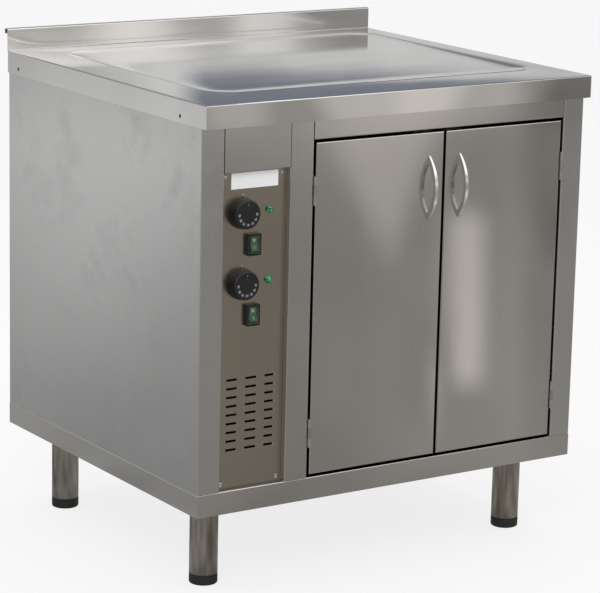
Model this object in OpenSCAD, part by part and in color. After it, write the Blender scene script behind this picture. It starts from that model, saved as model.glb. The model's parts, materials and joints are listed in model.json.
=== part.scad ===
// Plate warmer cabinet: a stainless steel cupboard with a heated worktop, two doors,
// a recessed control panel and four tubular legs.
// Sizes are in millimetres. The origin is on the floor under the middle of the cabinet,
// +Z is up and the doors face -Y.

/* [Worktop] */
// Width of the worktop
top_w = 800; // [740:1:900]
// Depth of the worktop from its front edge to the face of the upstand
top_d = 700; // [640:1:800]
// Height of the worktop above the floor
top_z = 855; // [850:1:900]
// Thickness of the worktop sheet
top_t = 1.5; // [1.2:0.1:2]
// Inner radius of the bends in the worktop
top_bend_r = 1; // [0.5:0.1:2]
// Height of the folded edge of the worktop
fascia_h = 40; // [36:1:50]
// Width of the lip folded in under the front edge
lip_w = 10; // [6:1:12]
// How far the worktop stands out in front of the doors
top_reach = 16; // [14:1:24]
// How far the worktop stands out over each side panel
side_reach = 2; // [1.8:0.1:5]
// Height of the upstand along the back
upstand_h = 40; // [25:1:80]
// Depth of the hooked top of the upstand
hook_d = 12; // [8:1:20]
// Drop of the rear lip of that hook
hook_lip = 10; // [6:1:20]
// Margin to the left of the grooved field
field_left = 78; // [50:1:100]
// Margin to the right of the grooved field
field_right = 43; // [30:1:80]
// Margin in front of the grooved field
field_front = 99; // [95:1:120]
// Margin behind the grooved field
field_back = 45; // [44:1:80]
// Corner radius of the grooved field
field_r = 50; // [20:1:80]
// Width of the groove
groove_w = 4; // [2:0.5:6]
// Depth of the groove
groove_h = 0.8; // [0.4:0.1:1]

/* [Body] */
// Thickness of the body sheet
sheet_t = 1; // [0.8:0.1:1.2]
// Inner radius of the bends in the body sheet
bend_r = 1; // [0.5:0.1:1.5]
// Height of the underside of the base above the floor
base_z = 150; // [120:1:180]
// Height of the base tray
base_h = 40; // [30:1:60]
// Thickness of the base tray sheet
base_t = 1.5; // [1:0.1:2]
// Width of the lip folded in under the base tray
base_lip = 12; // [8:1:20]
// Width of the outer front posts
post_w = 44; // [40:1:60]
// Width of the recess that holds the controls
control_w = 130; // [125:1:160]
// Width of the post between the controls and the doors
mid_w = 46; // [40:1:60]
// Depth of the post flange beside the controls
post_leg = 30; // [28:1:32]
// Depth of the post flange beside the doors
door_leg = 26; // [26:1:28]
// Width of the rear flange of each side panel
rear_flange = 20; // [15:1:30]
// Width of the inward flange along the top of each side panel
top_flange = 15; // [10:1:20]
// Height of the rail above the doors
rail_h = 35; // [25:1:45]
// Height of the plate above the control panel
header_h = 78; // [70:1:90]

/* [Doors] */
// Gap all round each door
door_gap = 5; // [4.5:0.1:6]
// Width of the left door
left_door_w = 264.5; // [240:0.5:280]
// Thickness of the doors
door_t = 22; // [18:1:24]
// Radius along the front edges of the doors
door_edge_r = 2; // [1.2:0.1:3]
// Depth of the rim of the inner door sheet
liner_rim = 12; // [8:1:14]
// Gap between the inner door sheet and the outer one
liner_gap = 0.1; // [0.05:0.05:0.2]
// Distance of the inner door sheet in front of the back of the door
liner_sink = 0.5; // [0.2:0.1:1]

/* [Hinges] */
// Length of a hinge
hinge_l = 50; // [40:1:60]
// Diameter of a hinge knuckle
knuckle_d = 6; // [5.6:0.1:6.2]
// Diameter of a hinge pin
pin_d = 3; // [2.5:0.1:3.4]
// Radial clearance of the pin in the turning knuckle
pin_clear = 0.05; // [0.02:0.01:0.1]
// Radial clearance of the pin in the fixed knuckles
pin_fix_clear = 0.01; // [0.01:0.01:0.02]
// Thickness of a hinge leaf
leaf_t = 1.5; // [1.2:0.1:1.6]
// Depth of a hinge leaf behind the front plane
leaf_d = 18; // [12:1:20]
// Distance of the hinge axis in front of the doors
axis_out = 2; // [1.8:0.1:2.5]
// Gap between two knuckles
knuckle_gap = 0.3; // [0.2:0.1:0.6]
// Distance from the top of the door to the middle of the upper hinge
hinge_top = 81.5; // [60:0.5:120]
// Distance from the bottom of the door to the middle of the lower hinge
hinge_bottom = 75; // [60:0.5:120]

/* [Handles] */
// Length of a bow handle
handle_l = 114; // [108:1:128]
// How far a bow handle stands out from the door
handle_out = 24.5; // [22:0.5:30]
// Clear height under the middle of the bow
handle_clear = 18; // [14:0.5:19]
// Clear length under the bow along the door
handle_span = 88; // [70:1:89]
// Width of the bow in the middle
handle_w = 6.4; // [5.6:0.1:9]
// Width of the bow at its tips
handle_tip_w = 3; // [2:0.1:5]
// Distance between the two screws of a handle
handle_pitch = 96; // [94:1:98]
// Distance from the top of the doors down to the middle of the handles
handle_drop = 98; // [80:1:200]
// Distance of a handle from the free edge of its door
handle_inset = 30; // [25:1:60]
// Diameter of the handle screws
handle_screw_d = 3; // [2.5:0.1:3.2]

/* [Controls] */
// Depth of the control panel behind the front plane
recess_d = 12; // [10:1:14]
// Gap between the control panel and the posts
panel_gap = 0.3; // [0.2:0.1:1]
// Distance of the knobs to the left of the middle of the recess
knob_dx = 21.6; // [15:0.1:30]
// Distance of the lamps to the right of the middle of the recess
lamp_dx = 31.3; // [25:0.1:40]
// Distance of the switches to the left of the middle of the recess
switch_dx = 1; // [0:0.1:5]
// Distance from the header plate down to the upper knob
knob_drop = 71.7; // [65:0.1:85]
// Height of the knob above the switch below it
switch_drop = 54.7; // [52:0.1:60]
// Height of the lamp above its knob
lamp_rise = 2.2; // [0:0.1:5]
// Distance from the upper controls down to the lower ones
control_pitch = 120.7; // [112:0.1:125]
// Diameter of a knob at the panel
knob_d = 54; // [48:1:60]
// Diameter of the face of a knob
knob_face_d = 45; // [38:1:50]
// Height of a knob
knob_h = 19.5; // [17:0.5:22]
// Wall of a knob
knob_wall = 2.5; // [2:0.1:3]
// Diameter of the shaft that carries a knob
shaft_d = 6; // [5:0.1:7]
// Radial clearance of the shaft in its bush
shaft_clear = 0.05; // [0.02:0.01:0.1]
// Diameter of the threaded bush of a thermostat
bush_d = 10; // [9:0.5:12]
// Side of the square thermostat housing
stat_w = 42; // [36:1:46]
// Depth of the thermostat housing
stat_d = 30; // [24:1:36]
// Diameter of the lens of a lamp
lens_d = 13; // [11:0.5:16]
// Height of the lens of a lamp
lens_h = 7; // [5:0.5:9]
// Diameter of the body of a lamp
lamp_d = 10; // [8:0.5:10.5]
// Width of the frame of a switch
frame_w = 26; // [25:0.5:30]
// Height of the frame of a switch
frame_h = 37; // [36:0.5:42]
// How far the frame of a switch stands out from the panel
frame_out = 8; // [7.6:0.1:8.5]
// Width of a rocker
rocker_w = 15; // [13:0.5:16]
// Length of a rocker
rocker_l = 24; // [22:0.5:25]
// Tilt of a rocker to each side
rocker_tilt = 10; // [6:1:10]
// Diameter of the pivot of a rocker
pivot_d = 3; // [2:0.1:3.5]
// Radial clearance of that pivot
pivot_clear = 0.05; // [0.02:0.01:0.1]
// Wall of the clear cap over a rocker
cap_t = 0.8; // [0.6:0.1:1]
// Height of the clear cap
cap_out = 3.4; // [3.2:0.1:4]
// Number of columns of vent slots
vent_cols = 3; // [1:1:3]
// Number of rows of vent slots
vent_rows = 9; // [2:1:10]
// Length of a vent slot
vent_l = 22.5; // [15:0.5:30]
// Height of a vent slot
vent_h = 4; // [3:0.5:6]
// Distance between two columns of slots
vent_dx = 38.6; // [36:0.1:40]
// Distance between two rows of slots
vent_dz = 15.26; // [10:0.1:16]
// Height of the lowest row of slots above the base
vent_rise = 68; // [50:1:90]
// Width of the bare plate over the controls
plate_w = 92; // [70:1:100]
// Height of that plate
plate_h = 27; // [20:1:27]
// Thickness of that plate
plate_t = 0.8; // [0.5:0.1:1.2]
// Distance from the header plate down to the middle of that plate
plate_drop = 17; // [15:0.5:18]
// Diameter of the control panel screws
panel_screw_d = 4; // [3:0.5:5]
// Diameter of the heads of those screws
panel_head_d = 8; // [6:0.5:9]
// Height of those heads
panel_head_h = 2.2; // [1.5:0.1:3]
// Distance of those screws from the edges of the recess
panel_screw_in = 9; // [8:0.5:12]

/* [Legs] */
// Diameter of a leg
leg_d = 50; // [40:1:55]
// Wall of a leg
leg_wall = 1.2; // [1:0.1:2]
// Distance of the leg centres from the sides of the body
leg_dx = 70; // [62:1:90]
// Distance of the leg centres from the front and the back of the body
leg_dy = 91; // [75:1:110]
// Side of the square flange on top of a leg
flange_w = 80; // [70:1:90]
// Thickness of that flange
flange_t = 3; // [2:0.5:5]
// Height of the dark foot below the tube
foot_h = 19; // [15:1:24]
// Thickness of the collar of the plug in the tube
collar_t = 2.5; // [2:0.1:3]
// Depth of the plug in the tube
plug_h = 32; // [25:1:45]
// Diameter of the stem of a foot
stem_d = 20; // [12:1:24]
// Radial clearance of the stem
stem_clear = 0.08; // [0.03:0.01:0.1]
// How far a foot can be drawn out
foot_travel = 30; // [10:1:35]
// Gap between a foot and the collar above it
foot_gap = 0.2; // [0.1:0.05:0.3]

/* [Warming] */
// Thickness of the insulation beside the controls
side_wool = 20; // [15:1:20]
// Depth of the insulation behind the cabinet space
back_wool = 40; // [30:1:50]
// Clearance round a slab of insulation
wool_gap = 0.2; // [0.1:0.1:0.3]
// Height of the shelf above the base
shelf_rise = 330; // [280:1:380]
// Height of the folded rim of the shelf
shelf_rim = 20; // [15:1:25]
// Clearance between the shelf and the walls
shelf_gap = 1; // [0.5:0.1:2]
// Depth between the front plane and the shelf
shelf_y = 40; // [36:1:60]
// Height of the perforated floor above the base
guard_h = 60; // [50:1:80]
// Diameter of the holes in the shelf and the floor
air_hole_d = 24; // [15:1:30]
// Distance between those holes
air_pitch = 58; // [50:1:70]
// Diameter of a heater tube
tube_d = 8; // [6:0.5:9]
// Diameter of the fins on the cabinet heater
fin_d = 24; // [18:1:28]
// Thickness of a fin
fin_t = 1; // [0.6:0.1:1.5]
// Distance between two fins
fin_pitch = 14; // [10:1:20]
// Height of the cabinet heater above the base
heater_rise = 30; // [24:1:34]
// Distance between the two runs of the cabinet heater
heater_gap = 110; // [80:1:140]
// Depth of the tray under the worktop heater
heat_tray_h = 30; // [28:1:32]
// Distance of the heater tray inside the grooved field
heat_tray_in = 12; // [8:1:20]
// Number of runs of the worktop heater
heat_runs = 6; // [4:2:8]

/* [Rear] */
// Diameter of the bore of the cable gland
gland_bore = 10; // [7:0.5:12]
// Diameter of the threaded part of the cable gland
gland_d = 20; // [16:1:22]
// How far the cable gland stands out at the back
gland_out = 22; // [18:1:30]
// Height of the cable gland above the base
gland_rise = 60; // [40:1:120]

/* [Hidden] */
$fn = 64;

body_w = top_w - 2 * side_reach;
body_d = top_d - top_reach;
side_x = body_w / 2;
front_y = (handle_out - body_d - gland_out) / 2;
under_z = top_z - top_t;
fascia_z = top_z - fascia_h;
deck_z = base_z + base_h;
rail_z = fascia_z - rail_h;
header_z = fascia_z - header_h;
recess_x0 = -side_x + post_w;
recess_x1 = recess_x0 + control_w;
open_x0 = recess_x1 + mid_w;
open_x1 = side_x - post_w;
recess_mid = (recess_x0 + recess_x1) / 2;
back_y = body_d - sheet_t;
divider_x = open_x0 - sheet_t - side_wool;
liner_y = back_y - sheet_t - back_wool;
tray_z = under_z - heat_tray_h;
field_x0 = -top_w / 2 + field_left;
field_x1 = top_w / 2 - field_right;
field_y0 = -top_reach + field_front;
field_y1 = body_d - field_back;
door_z0 = deck_z + door_gap;
door_z1 = rail_z - door_gap;
right_door_w = open_x1 - open_x0 - 3 * door_gap - left_door_w;
hinge_zs = [door_z0 + hinge_bottom, door_z1 - hinge_top];
knob_x = recess_mid - knob_dx;
lamp_x = recess_mid + lamp_dx;
switch_x = recess_mid - switch_dx;
control_zs = [header_z - knob_drop, header_z - knob_drop - control_pitch];
plate_z = header_z - plate_drop;
vent_z = deck_z + vent_rise;
handle_z = door_z1 - handle_drop;
panel_back = recess_d + sheet_t;
pivot_y = recess_d;
shelf_z = deck_z + shelf_rise;
heater_z = deck_z + heater_rise;
heater_y = (shelf_y + liner_y) / 2;
leg_xs = [-side_x + leg_dx, side_x - leg_dx];
leg_ys = [leg_dy, body_d - leg_dy];
leg_top = deck_z - base_t - flange_t;
gland_x = recess_x0 + 50;
gland_z = deck_z + gland_rise;
side_screw_ys = [68, body_d - 41];
side_screw_z = top_z - 29;
side_screw_d = 4;
side_head_d = 7;
hole_play = 0.1;
hair = 0.01;

// Tray, tubes and sensor of the worktop heater
tray_x0 = field_x0 + heat_tray_in;
tray_x1 = field_x1 - heat_tray_in;
tray_y0 = field_y0 + heat_tray_in / 2;
tray_y1 = field_y1 - heat_tray_in / 2;
tray_rim = 12;
top_tube_z = under_z - tube_d / 2 - 0.1;
bulb_d = 6;
bulb_l = 90;
capillary_d = 2;
bulb_y = tray_y0 + tray_rim + 12;
bulb_z = under_z - bulb_d / 2 - 0.3;
run_y0 = bulb_y + 30;
run_y1 = tray_y1 - tray_rim - 20;
run_gap = (run_y1 - run_y0) / (heat_runs - 1);
run_x0 = tray_x0 + tray_rim + 20 + run_gap / 2;
run_x1 = tray_x1 - tray_rim - 20 - run_gap / 2;

// Control panel and what it carries
panel_top = header_z + 12;
panel_screw_xs = [recess_x0 + panel_screw_in, recess_x1 - panel_screw_in];
panel_screw_zs = [deck_z + panel_screw_in, header_z - panel_screw_in];
neck_w = frame_w - 5;
neck_h = frame_h - 7;
lamp_neck = lamp_d + 2 * hole_play;
pocket_w = rocker_w + 1;
pocket_h = rocker_l + 3.2;
stat_back = panel_back + stat_d;
bulb_run_y = stat_back + 15;
lower_bulb_z = control_zs[1];
// Sideways offset of the capillary outlet from the knob axis
outlet_dx = 12;

// Divider and cabinet heater
divider_top = tray_z - 0.5;
heater_x0 = divider_x - 30;
heater_x1 = open_x1 - 110;
fins_x0 = open_x0 + 30;
// Places along the row of fins that are left free for the heater brackets
bracket_slots = [4, 20];

// Doors, strikes and hinges
left_x0 = open_x0 + door_gap;
left_x1 = left_x0 + left_door_w;
right_x1 = open_x1 - door_gap;
right_x0 = right_x1 - right_door_w;
strike_t = 1.5;
strike_w = 30;
strike_h = 18;
strike_in = 15;
catch_gap = 0.3;
strike_xs = [left_x1 - strike_in - strike_w / 2, right_x0 + strike_in + strike_w / 2];
knuckle_mid = hinge_l / 3;

// A box between two opposite corners
module box(a, b) {
    translate(a) cube(b - a);
}

// A flat outline of Y and Z run along X
module along_x(x0, x1) {
    translate([x0, 0, 0]) rotate([90, 0, 90]) linear_extrude(x1 - x0) children();
}

// A flat outline of X and Z run along Y
module along_y(y0, y1) {
    translate([0, y1, 0]) rotate([90, 0, 0]) linear_extrude(y1 - y0) children();
}

// A flat outline of X and Y run along Z
module along_z(z0, z1) {
    translate([0, 0, z0]) linear_extrude(z1 - z0) children();
}

// A round bar along Y
module bar_y(x, z, d, y0, y1) {
    translate([x, y1, z]) rotate([90, 0, 0]) cylinder(d = d, h = y1 - y0);
}

// A round bar along X
module bar_x(y, z, d, x0, x1) {
    translate([x0, y, z]) rotate([0, 90, 0]) cylinder(d = d, h = x1 - x0);
}

// Cross product of two flat directions: above zero for a left turn
function turn(a, b) = a[0] * b[1] - a[1] * b[0];
function heading(p, i) = (p[i + 1] - p[i]) / norm(p[i + 1] - p[i]);
function left_of(d) = [-d[1], d[0]];
// How much of a leg the bend at corner i of the path p takes
function bend_cut(p, i, t, r) = i <= 0 || i >= len(p) - 1 ? 0
    : turn(heading(p, i - 1), heading(p, i)) > 0 ? r + t : r;

// The section of a folded sheet: the path is one face of it, and the sheet lies to its left
module folded(path, t, r) {
    last = len(path) - 1;
    for (i = [0:last - 1]) {
        d = heading(path, i);
        a = path[i] + d * bend_cut(path, i, t, r);
        b = path[i + 1] - d * bend_cut(path, i + 1, t, r);
        polygon([a, b, b + left_of(d) * t, a + left_of(d) * t]);
    }
    for (i = [1:last - 1]) {
        d = heading(path, i - 1);
        side = turn(d, heading(path, i)) > 0 ? 1 : -1;
        out = -side * left_of(d);
        c = path[i] - d * bend_cut(path, i, t, r) - out * bend_cut(path, i, t, r);
        reach = r + t;
        translate(c) intersection() {
            difference() {
                circle(r = reach);
                circle(r = r);
            }
            polygon([[0, 0], d * reach, (d + out) * reach, out * reach]);
        }
    }
}

// A rectangle whose two corners on the line v = 0 are rounded
module round_front(u0, u1, depth, r) {
    translate([u0 + r, 0]) square([u1 - u0 - 2 * r, depth]);
    translate([u0, r]) square([u1 - u0, depth - r]);
    for (u = [u0 + r, u1 - r]) translate([u, r]) circle(r = r);
}

// A rectangle with all corners rounded
module round_box(x0, x1, y0, y1, r) {
    translate([x0 + r, y0]) square([x1 - x0 - 2 * r, y1 - y0]);
    translate([x0, y0 + r]) square([x1 - x0, y1 - y0 - 2 * r]);
    for (x = [x0 + r, x1 - r], y = [y0 + r, y1 - r]) translate([x, y]) circle(r = r);
}

// A slot with round ends along X
module slot(l, h) {
    square([l - h, h], center = true);
    for (s = [-1, 1]) translate([s * (l - h) / 2, 0]) circle(d = h);
}

// A round tube through points joined by square corners, each bent to a radius
module bent_tube(points, d, r) {
    last = len(points) - 1;
    for (i = [0:last - 1]) {
        u = heading(points, i);
        a = points[i] + (i > 0 ? u * r : 0 * u);
        b = points[i + 1] - (i < last - 1 ? u * r : 0 * u);
        translate(a) rotate([0, acos(u[2]), atan2(u[1], u[0])]) cylinder(d = d, h = norm(b - a));
    }
    for (i = [1:last - 1]) {
        u = heading(points, i - 1);
        v = heading(points, i);
        c = points[i] + (v - u) * r;
        w = cross(u, v);
        multmatrix([
            [-v[0], u[0], w[0], c[0]],
            [-v[1], u[1], w[1], c[1]],
            [-v[2], u[2], w[2], c[2]],
            [0, 0, 0, 1]])
            rotate_extrude(angle = 90) translate([r, 0]) circle(d = d);
    }
}

// The groove that frames the heated field, cut from above
module field_groove() {
    // One V-shaped section, its middle on the line of the groove
    module vee() {
        polygon([[-groove_w / 2, hair], [0, -groove_h], [groove_w / 2, hair]]);
    }
    xs = [field_x0 + field_r, field_x1 - field_r];
    ys = [field_y0 + field_r, field_y1 - field_r];
    for (y = [field_y0, field_y1])
        translate([xs[0], y, top_z]) rotate([90, 0, 90]) linear_extrude(xs[1] - xs[0]) vee();
    for (x = [field_x0, field_x1])
        translate([x, ys[1], top_z]) rotate([90, 0, 0]) linear_extrude(ys[1] - ys[0]) vee();
    for (i = [0, 1], j = [0, 1])
        translate([xs[i], ys[j], top_z])
            rotate([0, 0, i == 0 ? (j == 0 ? 180 : 90) : (j == 0 ? -90 : 0)])
                rotate_extrude(angle = 90) translate([field_r, 0]) vee();
}

// The pan of the worktop, folded down at the front and at both sides
module top_pan() {
    r = top_bend_r + top_t;
    difference() {
        intersection() {
            along_x(-top_w / 2, top_w / 2)
                translate([0, top_z]) mirror([0, 1])
                    union() {
                        translate([-top_reach + r, 0]) square([body_d + top_reach - r, fascia_h]);
                        translate([-top_reach, r]) square([body_d + top_reach, fascia_h - r]);
                        translate([-top_reach + r, r]) circle(r = r);
                    }
            along_y(-top_reach, body_d)
                translate([0, top_z]) mirror([0, 1]) round_front(-top_w / 2, top_w / 2, fascia_h, r);
        }
        box([-top_w / 2 + top_t, -top_reach + top_t, fascia_z - 1],
            [top_w / 2 - top_t, body_d + 1, top_z - top_t]);
        field_groove();
        worktop_side_holes();
    }
}

// Countersunk holes for the screws through the sides of the worktop
module worktop_side_holes() {
    for (s = [0, 1], y = side_screw_ys) mirror([s, 0, 0]) {
        translate([-top_w / 2 - hair, y, side_screw_z]) rotate([0, 90, 0])
            cylinder(d1 = side_head_d + 2 * hole_play, d2 = side_screw_d + 2 * hole_play,
                h = top_t + 2 * hair);
    }
}

module worktop() {
    color("gainsboro") {
        top_pan();
        // Lip folded in under the front edge
        box([-top_w / 2 + top_t, -top_reach, fascia_z],
            [top_w / 2 - top_t, -top_reach + lip_w, fascia_z + top_t]);
        // Upstand with its hooked top
        along_x(-top_w / 2, top_w / 2)
            folded([[body_d + hook_d, top_z + upstand_h - hook_lip],
                [body_d + hook_d, top_z + upstand_h], [body_d, top_z + upstand_h],
                [body_d, top_z], [body_d - top_bend_r - 0.5, top_z]], top_t, top_bend_r);
    }
}

// Two channels stiffen the worktop from below
module worktop_channels() {
    channel_w = 30;
    channel_h = 15;
    reach = side_x - sheet_t - top_flange - 0.5;
    ends = [field_y0 - channel_w - 8, field_y1 + 10];
    color("silver")
        for (y = ends)
            along_x(-reach, reach)
                folded([[y + channel_w, under_z - channel_h], [y + channel_w, under_z],
                    [y, under_z], [y, under_z - channel_h]], top_t, top_bend_r);
}

// Serpentine tubular heater pressed to the underside of the worktop
module top_heater() {
    color("dimgray") {
        for (i = [0:heat_runs - 1]) {
            first = i == 0 || i == heat_runs - 1;
            bar_x(run_y0 + i * run_gap, top_tube_z, tube_d, first ? tray_x0 - 14 : run_x0, run_x1);
        }
        for (i = [0:heat_runs - 2]) {
            right = i % 2 == 0;
            translate([right ? run_x1 : run_x0, run_y0 + (i + 0.5) * run_gap, top_tube_z])
                rotate([0, 0, right ? -90 : 90])
                    rotate_extrude(angle = 180) translate([run_gap / 2, 0]) circle(d = tube_d);
        }
    }
}

// Tray that clamps the worktop heater and its insulation
module top_heater_tray() {
    color("lightgray") difference() {
        union() {
            box([tray_x0 + tray_rim, tray_y0 + tray_rim, tray_z],
                [tray_x1 - tray_rim, tray_y1 - tray_rim, under_z]);
            box([tray_x0, tray_y0, under_z - sheet_t], [tray_x1, tray_y1, under_z]);
        }
        box([tray_x0 + tray_rim + sheet_t, tray_y0 + tray_rim + sheet_t, tray_z + sheet_t],
            [tray_x1 - tray_rim - sheet_t, tray_y1 - tray_rim - sheet_t, under_z + 1]);
        // The ends of the heater and the sensor pass through the left rim
        for (y = [run_y0, run_y0 + (heat_runs - 1) * run_gap])
            bar_x(y, top_tube_z, tube_d + 1, tray_x0 - 1, tray_x0 + tray_rim + sheet_t + 1);
        for (y = [run_y0, run_y0 + (heat_runs - 1) * run_gap])
            box([tray_x0 - 1, y - tube_d / 2 - 0.5, top_tube_z],
                [tray_x0 + tray_rim + sheet_t + 1, y + tube_d / 2 + 0.5, under_z + 1]);
        box([tray_x0 - 1, bulb_y - bulb_d / 2 - 0.5, bulb_z - bulb_d / 2 - 0.3],
            [tray_x0 + tray_rim + sheet_t + 1, bulb_y + bulb_d / 2 + 0.5, under_z + 1]);
    }
}

module worktop_side_screws() {
    color("gray")
        for (s = [0, 1], y = side_screw_ys) mirror([s, 0, 0])
            translate([-top_w / 2, y, side_screw_z]) rotate([0, 90, 0]) {
                cylinder(d1 = side_head_d, d2 = side_screw_d, h = top_t);
                cylinder(d = side_screw_d, h = 10);
            }
}

// A side panel folded round the front post, seen for the left side
module side_panel(leg) {
    difference() {
        union() {
            along_z(deck_z, under_z)
                folded([[-side_x + rear_flange, body_d], [-side_x, body_d], [-side_x, 0],
                    [-side_x + post_w, 0], [-side_x + post_w, leg]], sheet_t, bend_r);
            box([-side_x + sheet_t / 2, leg + 5, under_z - sheet_t],
                [-side_x + sheet_t + top_flange, body_d - rear_flange, under_z]);
        }
        for (y = side_screw_ys)
            bar_x(y, side_screw_z, side_screw_d + 2 * hole_play, -side_x - 1, -side_x + sheet_t + 1);
    }
}

module left_side_panel() {
    color("gainsboro") side_panel(post_leg);
}

module right_side_panel() {
    color("gainsboro") mirror([1, 0, 0]) side_panel(door_leg);
}

module back_panel() {
    color("silver") difference() {
        box([-side_x + sheet_t + bend_r + hole_play, back_y - sheet_t, deck_z],
            [side_x - sheet_t - bend_r - hole_play, back_y, under_z]);
        bar_y(gland_x, gland_z, gland_d + 2 * hole_play, back_y - sheet_t - 1, back_y + 1);
    }
}

// The base: a deck with a folded skirt and a lip all round
module base_tray() {
    r = base_t + bend_r;
    color("silver") {
        difference() {
            intersection() {
                along_x(-side_x, side_x)
                    translate([0, deck_z]) mirror([0, 1]) round_front(0, body_d, base_h, r);
                along_y(0, body_d)
                    translate([0, deck_z]) mirror([0, 1]) round_front(-side_x, side_x, base_h, r);
            }
            box([-side_x + base_t, base_t, base_z + base_t],
                [side_x - base_t, body_d - base_t, deck_z - base_t]);
            box([-side_x + base_lip, base_lip, base_z - 1],
                [side_x - base_lip, body_d - base_lip, base_z + base_t + 1]);
        }
    }
}

module middle_post() {
    color("silver")
        along_z(deck_z, under_z)
            folded([[recess_x1, post_leg], [recess_x1, 0], [open_x0, 0], [open_x0, door_leg]],
                sheet_t, bend_r);
}

module door_rail() {
    color("silver")
        along_x(open_x0, open_x1)
            folded([[0, under_z], [0, rail_z], [door_leg, rail_z]], sheet_t, bend_r);
}

module control_header() {
    color("silver")
        along_x(recess_x0, recess_x1)
            folded([[0, under_z], [0, header_z], [recess_d - panel_gap, header_z]], sheet_t, bend_r);
}

module control_panel() {
    color("dimgray") difference() {
        box([recess_x0 + panel_gap, recess_d, deck_z + panel_gap],
            [recess_x1 - panel_gap, panel_back, panel_top]);
        for (z = control_zs) {
            bar_y(knob_x, z, bush_d + 2 * hole_play, recess_d - 1, panel_back + 1);
            bar_y(lamp_x, z + lamp_rise, lamp_neck, recess_d - 1, panel_back + 1);
            box([switch_x - neck_w / 2 - 0.5, recess_d - 1, z - switch_drop - neck_h / 2 - 0.5],
                [switch_x + neck_w / 2 + 0.5, panel_back + 1, z - switch_drop + neck_h / 2 + 0.5]);
        }
        for (x = panel_screw_xs, z = panel_screw_zs)
            bar_y(x, z, panel_screw_d + 2 * hole_play, recess_d - 1, panel_back + 1);
        for (c = [0:vent_cols - 1], i = [0:vent_rows - 1])
            translate([recess_mid + 1 + (c - (vent_cols - 1) / 2) * vent_dx, panel_back + 1,
                vent_z + i * vent_dz])
                rotate([90, 0, 0]) linear_extrude(sheet_t + 2) slot(vent_l, vent_h);
    }
}

module control_panel_screws() {
    color("lightgray")
        for (x = panel_screw_xs, z = panel_screw_zs) {
            bar_y(x, z, panel_screw_d, recess_d, panel_back + sheet_t + 6);
            // A round head, flat under its rim
            translate([x, recess_d, z]) rotate([90, 0, 0]) rotate_extrude()
                intersection() {
                    translate([0, panel_head_h - panel_head_d * 0.75]) circle(d = panel_head_d * 1.5);
                    square([panel_head_d / 2, panel_head_h]);
                }
        }
}

module blank_plate() {
    x = recess_mid + 1.6;
    color("white")
        along_y(recess_d - plate_t, recess_d)
            round_box(x - plate_w / 2, x + plate_w / 2, plate_z - plate_h / 2, plate_z + plate_h / 2, 1);
}

// Angles behind the control panel that take its screws
module panel_brackets() {
    bracket_w = 2 * panel_screw_in;
    z0 = deck_z + 1;
    color("silver") difference() {
        for (s = [0, 1])
            translate([recess_mid, 0, 0]) mirror([s, 0, 0]) {
                box([-control_w / 2, panel_back, z0],
                    [-control_w / 2 + sheet_t, post_leg, header_z]);
                box([-control_w / 2, panel_back, z0],
                    [-control_w / 2 + bracket_w, panel_back + sheet_t, header_z]);
            }
        for (x = panel_screw_xs, z = panel_screw_zs)
            bar_y(x, z, panel_screw_d + 2 * hole_play, panel_back - 1, panel_back + sheet_t + 1);
    }
}

// Wall between the controls and the warm space
module divider_panel() {
    color("silver") difference() {
        along_z(deck_z, divider_top)
            folded([[recess_x1, post_leg], [divider_x, post_leg], [divider_x, back_y - sheet_t],
                [divider_x - rear_flange, back_y - sheet_t]], sheet_t, bend_r);
        heater_passages(divider_x - sheet_t - 1, divider_x + 1);
    }
}

// Holes through an upright wall for the ends of the cabinet heater and the sensor
module heater_passages(x0, x1) {
    for (s = [-1, 1]) bar_x(heater_y + s * heater_gap / 2, heater_z, tube_d + 0.4, x0, x1);
    bar_x(bulb_run_y, lower_bulb_z, bulb_d + 0.4, x0, x1);
}

// Inner walls of the warm space, folded from one sheet
module cabinet_liner() {
    color("lightgray") difference() {
        along_z(deck_z, rail_z)
            folded([[open_x0, door_leg + 0.3], [open_x0, liner_y], [open_x1, liner_y],
                [open_x1, door_leg + 0.3]], sheet_t, bend_r);
        heater_passages(open_x0 - sheet_t - 1, open_x0 + 1);
    }
}

module ceiling_liner() {
    color("lightgray")
        box([open_x0 - sheet_t, door_leg + 0.3, rail_z],
            [open_x1 + sheet_t, liner_y + sheet_t, rail_z + sheet_t]);
}

// Slabs of mineral wool round the warm space and under the worktop heater
module insulation() {
    g = wool_gap;
    z0 = deck_z + g;
    z1 = tray_z - g;
    wall_x0 = divider_x + g;
    color("khaki") {
        difference() {
            box([wall_x0, post_leg + 5, z0], [open_x0 - sheet_t - g, liner_y - g, rail_z - g]);
            heater_passages(wall_x0 - 1, open_x0);
        }
        box([open_x1 + sheet_t + g, door_leg + 1, z0], [side_x - sheet_t - g, back_y - sheet_t - g, z1]);
        box([wall_x0, liner_y + sheet_t + g, z0],
            [open_x1 + sheet_t, back_y - sheet_t - g, z1]);
        box([wall_x0, post_leg + 5, rail_z + sheet_t + g], [open_x1 + sheet_t, liner_y + sheet_t, z1]);
        // The slab in the heater tray stops short of the lane of the sensor
        box([tray_x0 + tray_rim + sheet_t + g, bulb_y + bulb_d, tray_z + sheet_t + g],
            [tray_x1 - tray_rim - sheet_t - g, tray_y1 - tray_rim - sheet_t - g,
                top_tube_z - tube_d / 2 - g]);
    }
}

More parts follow.
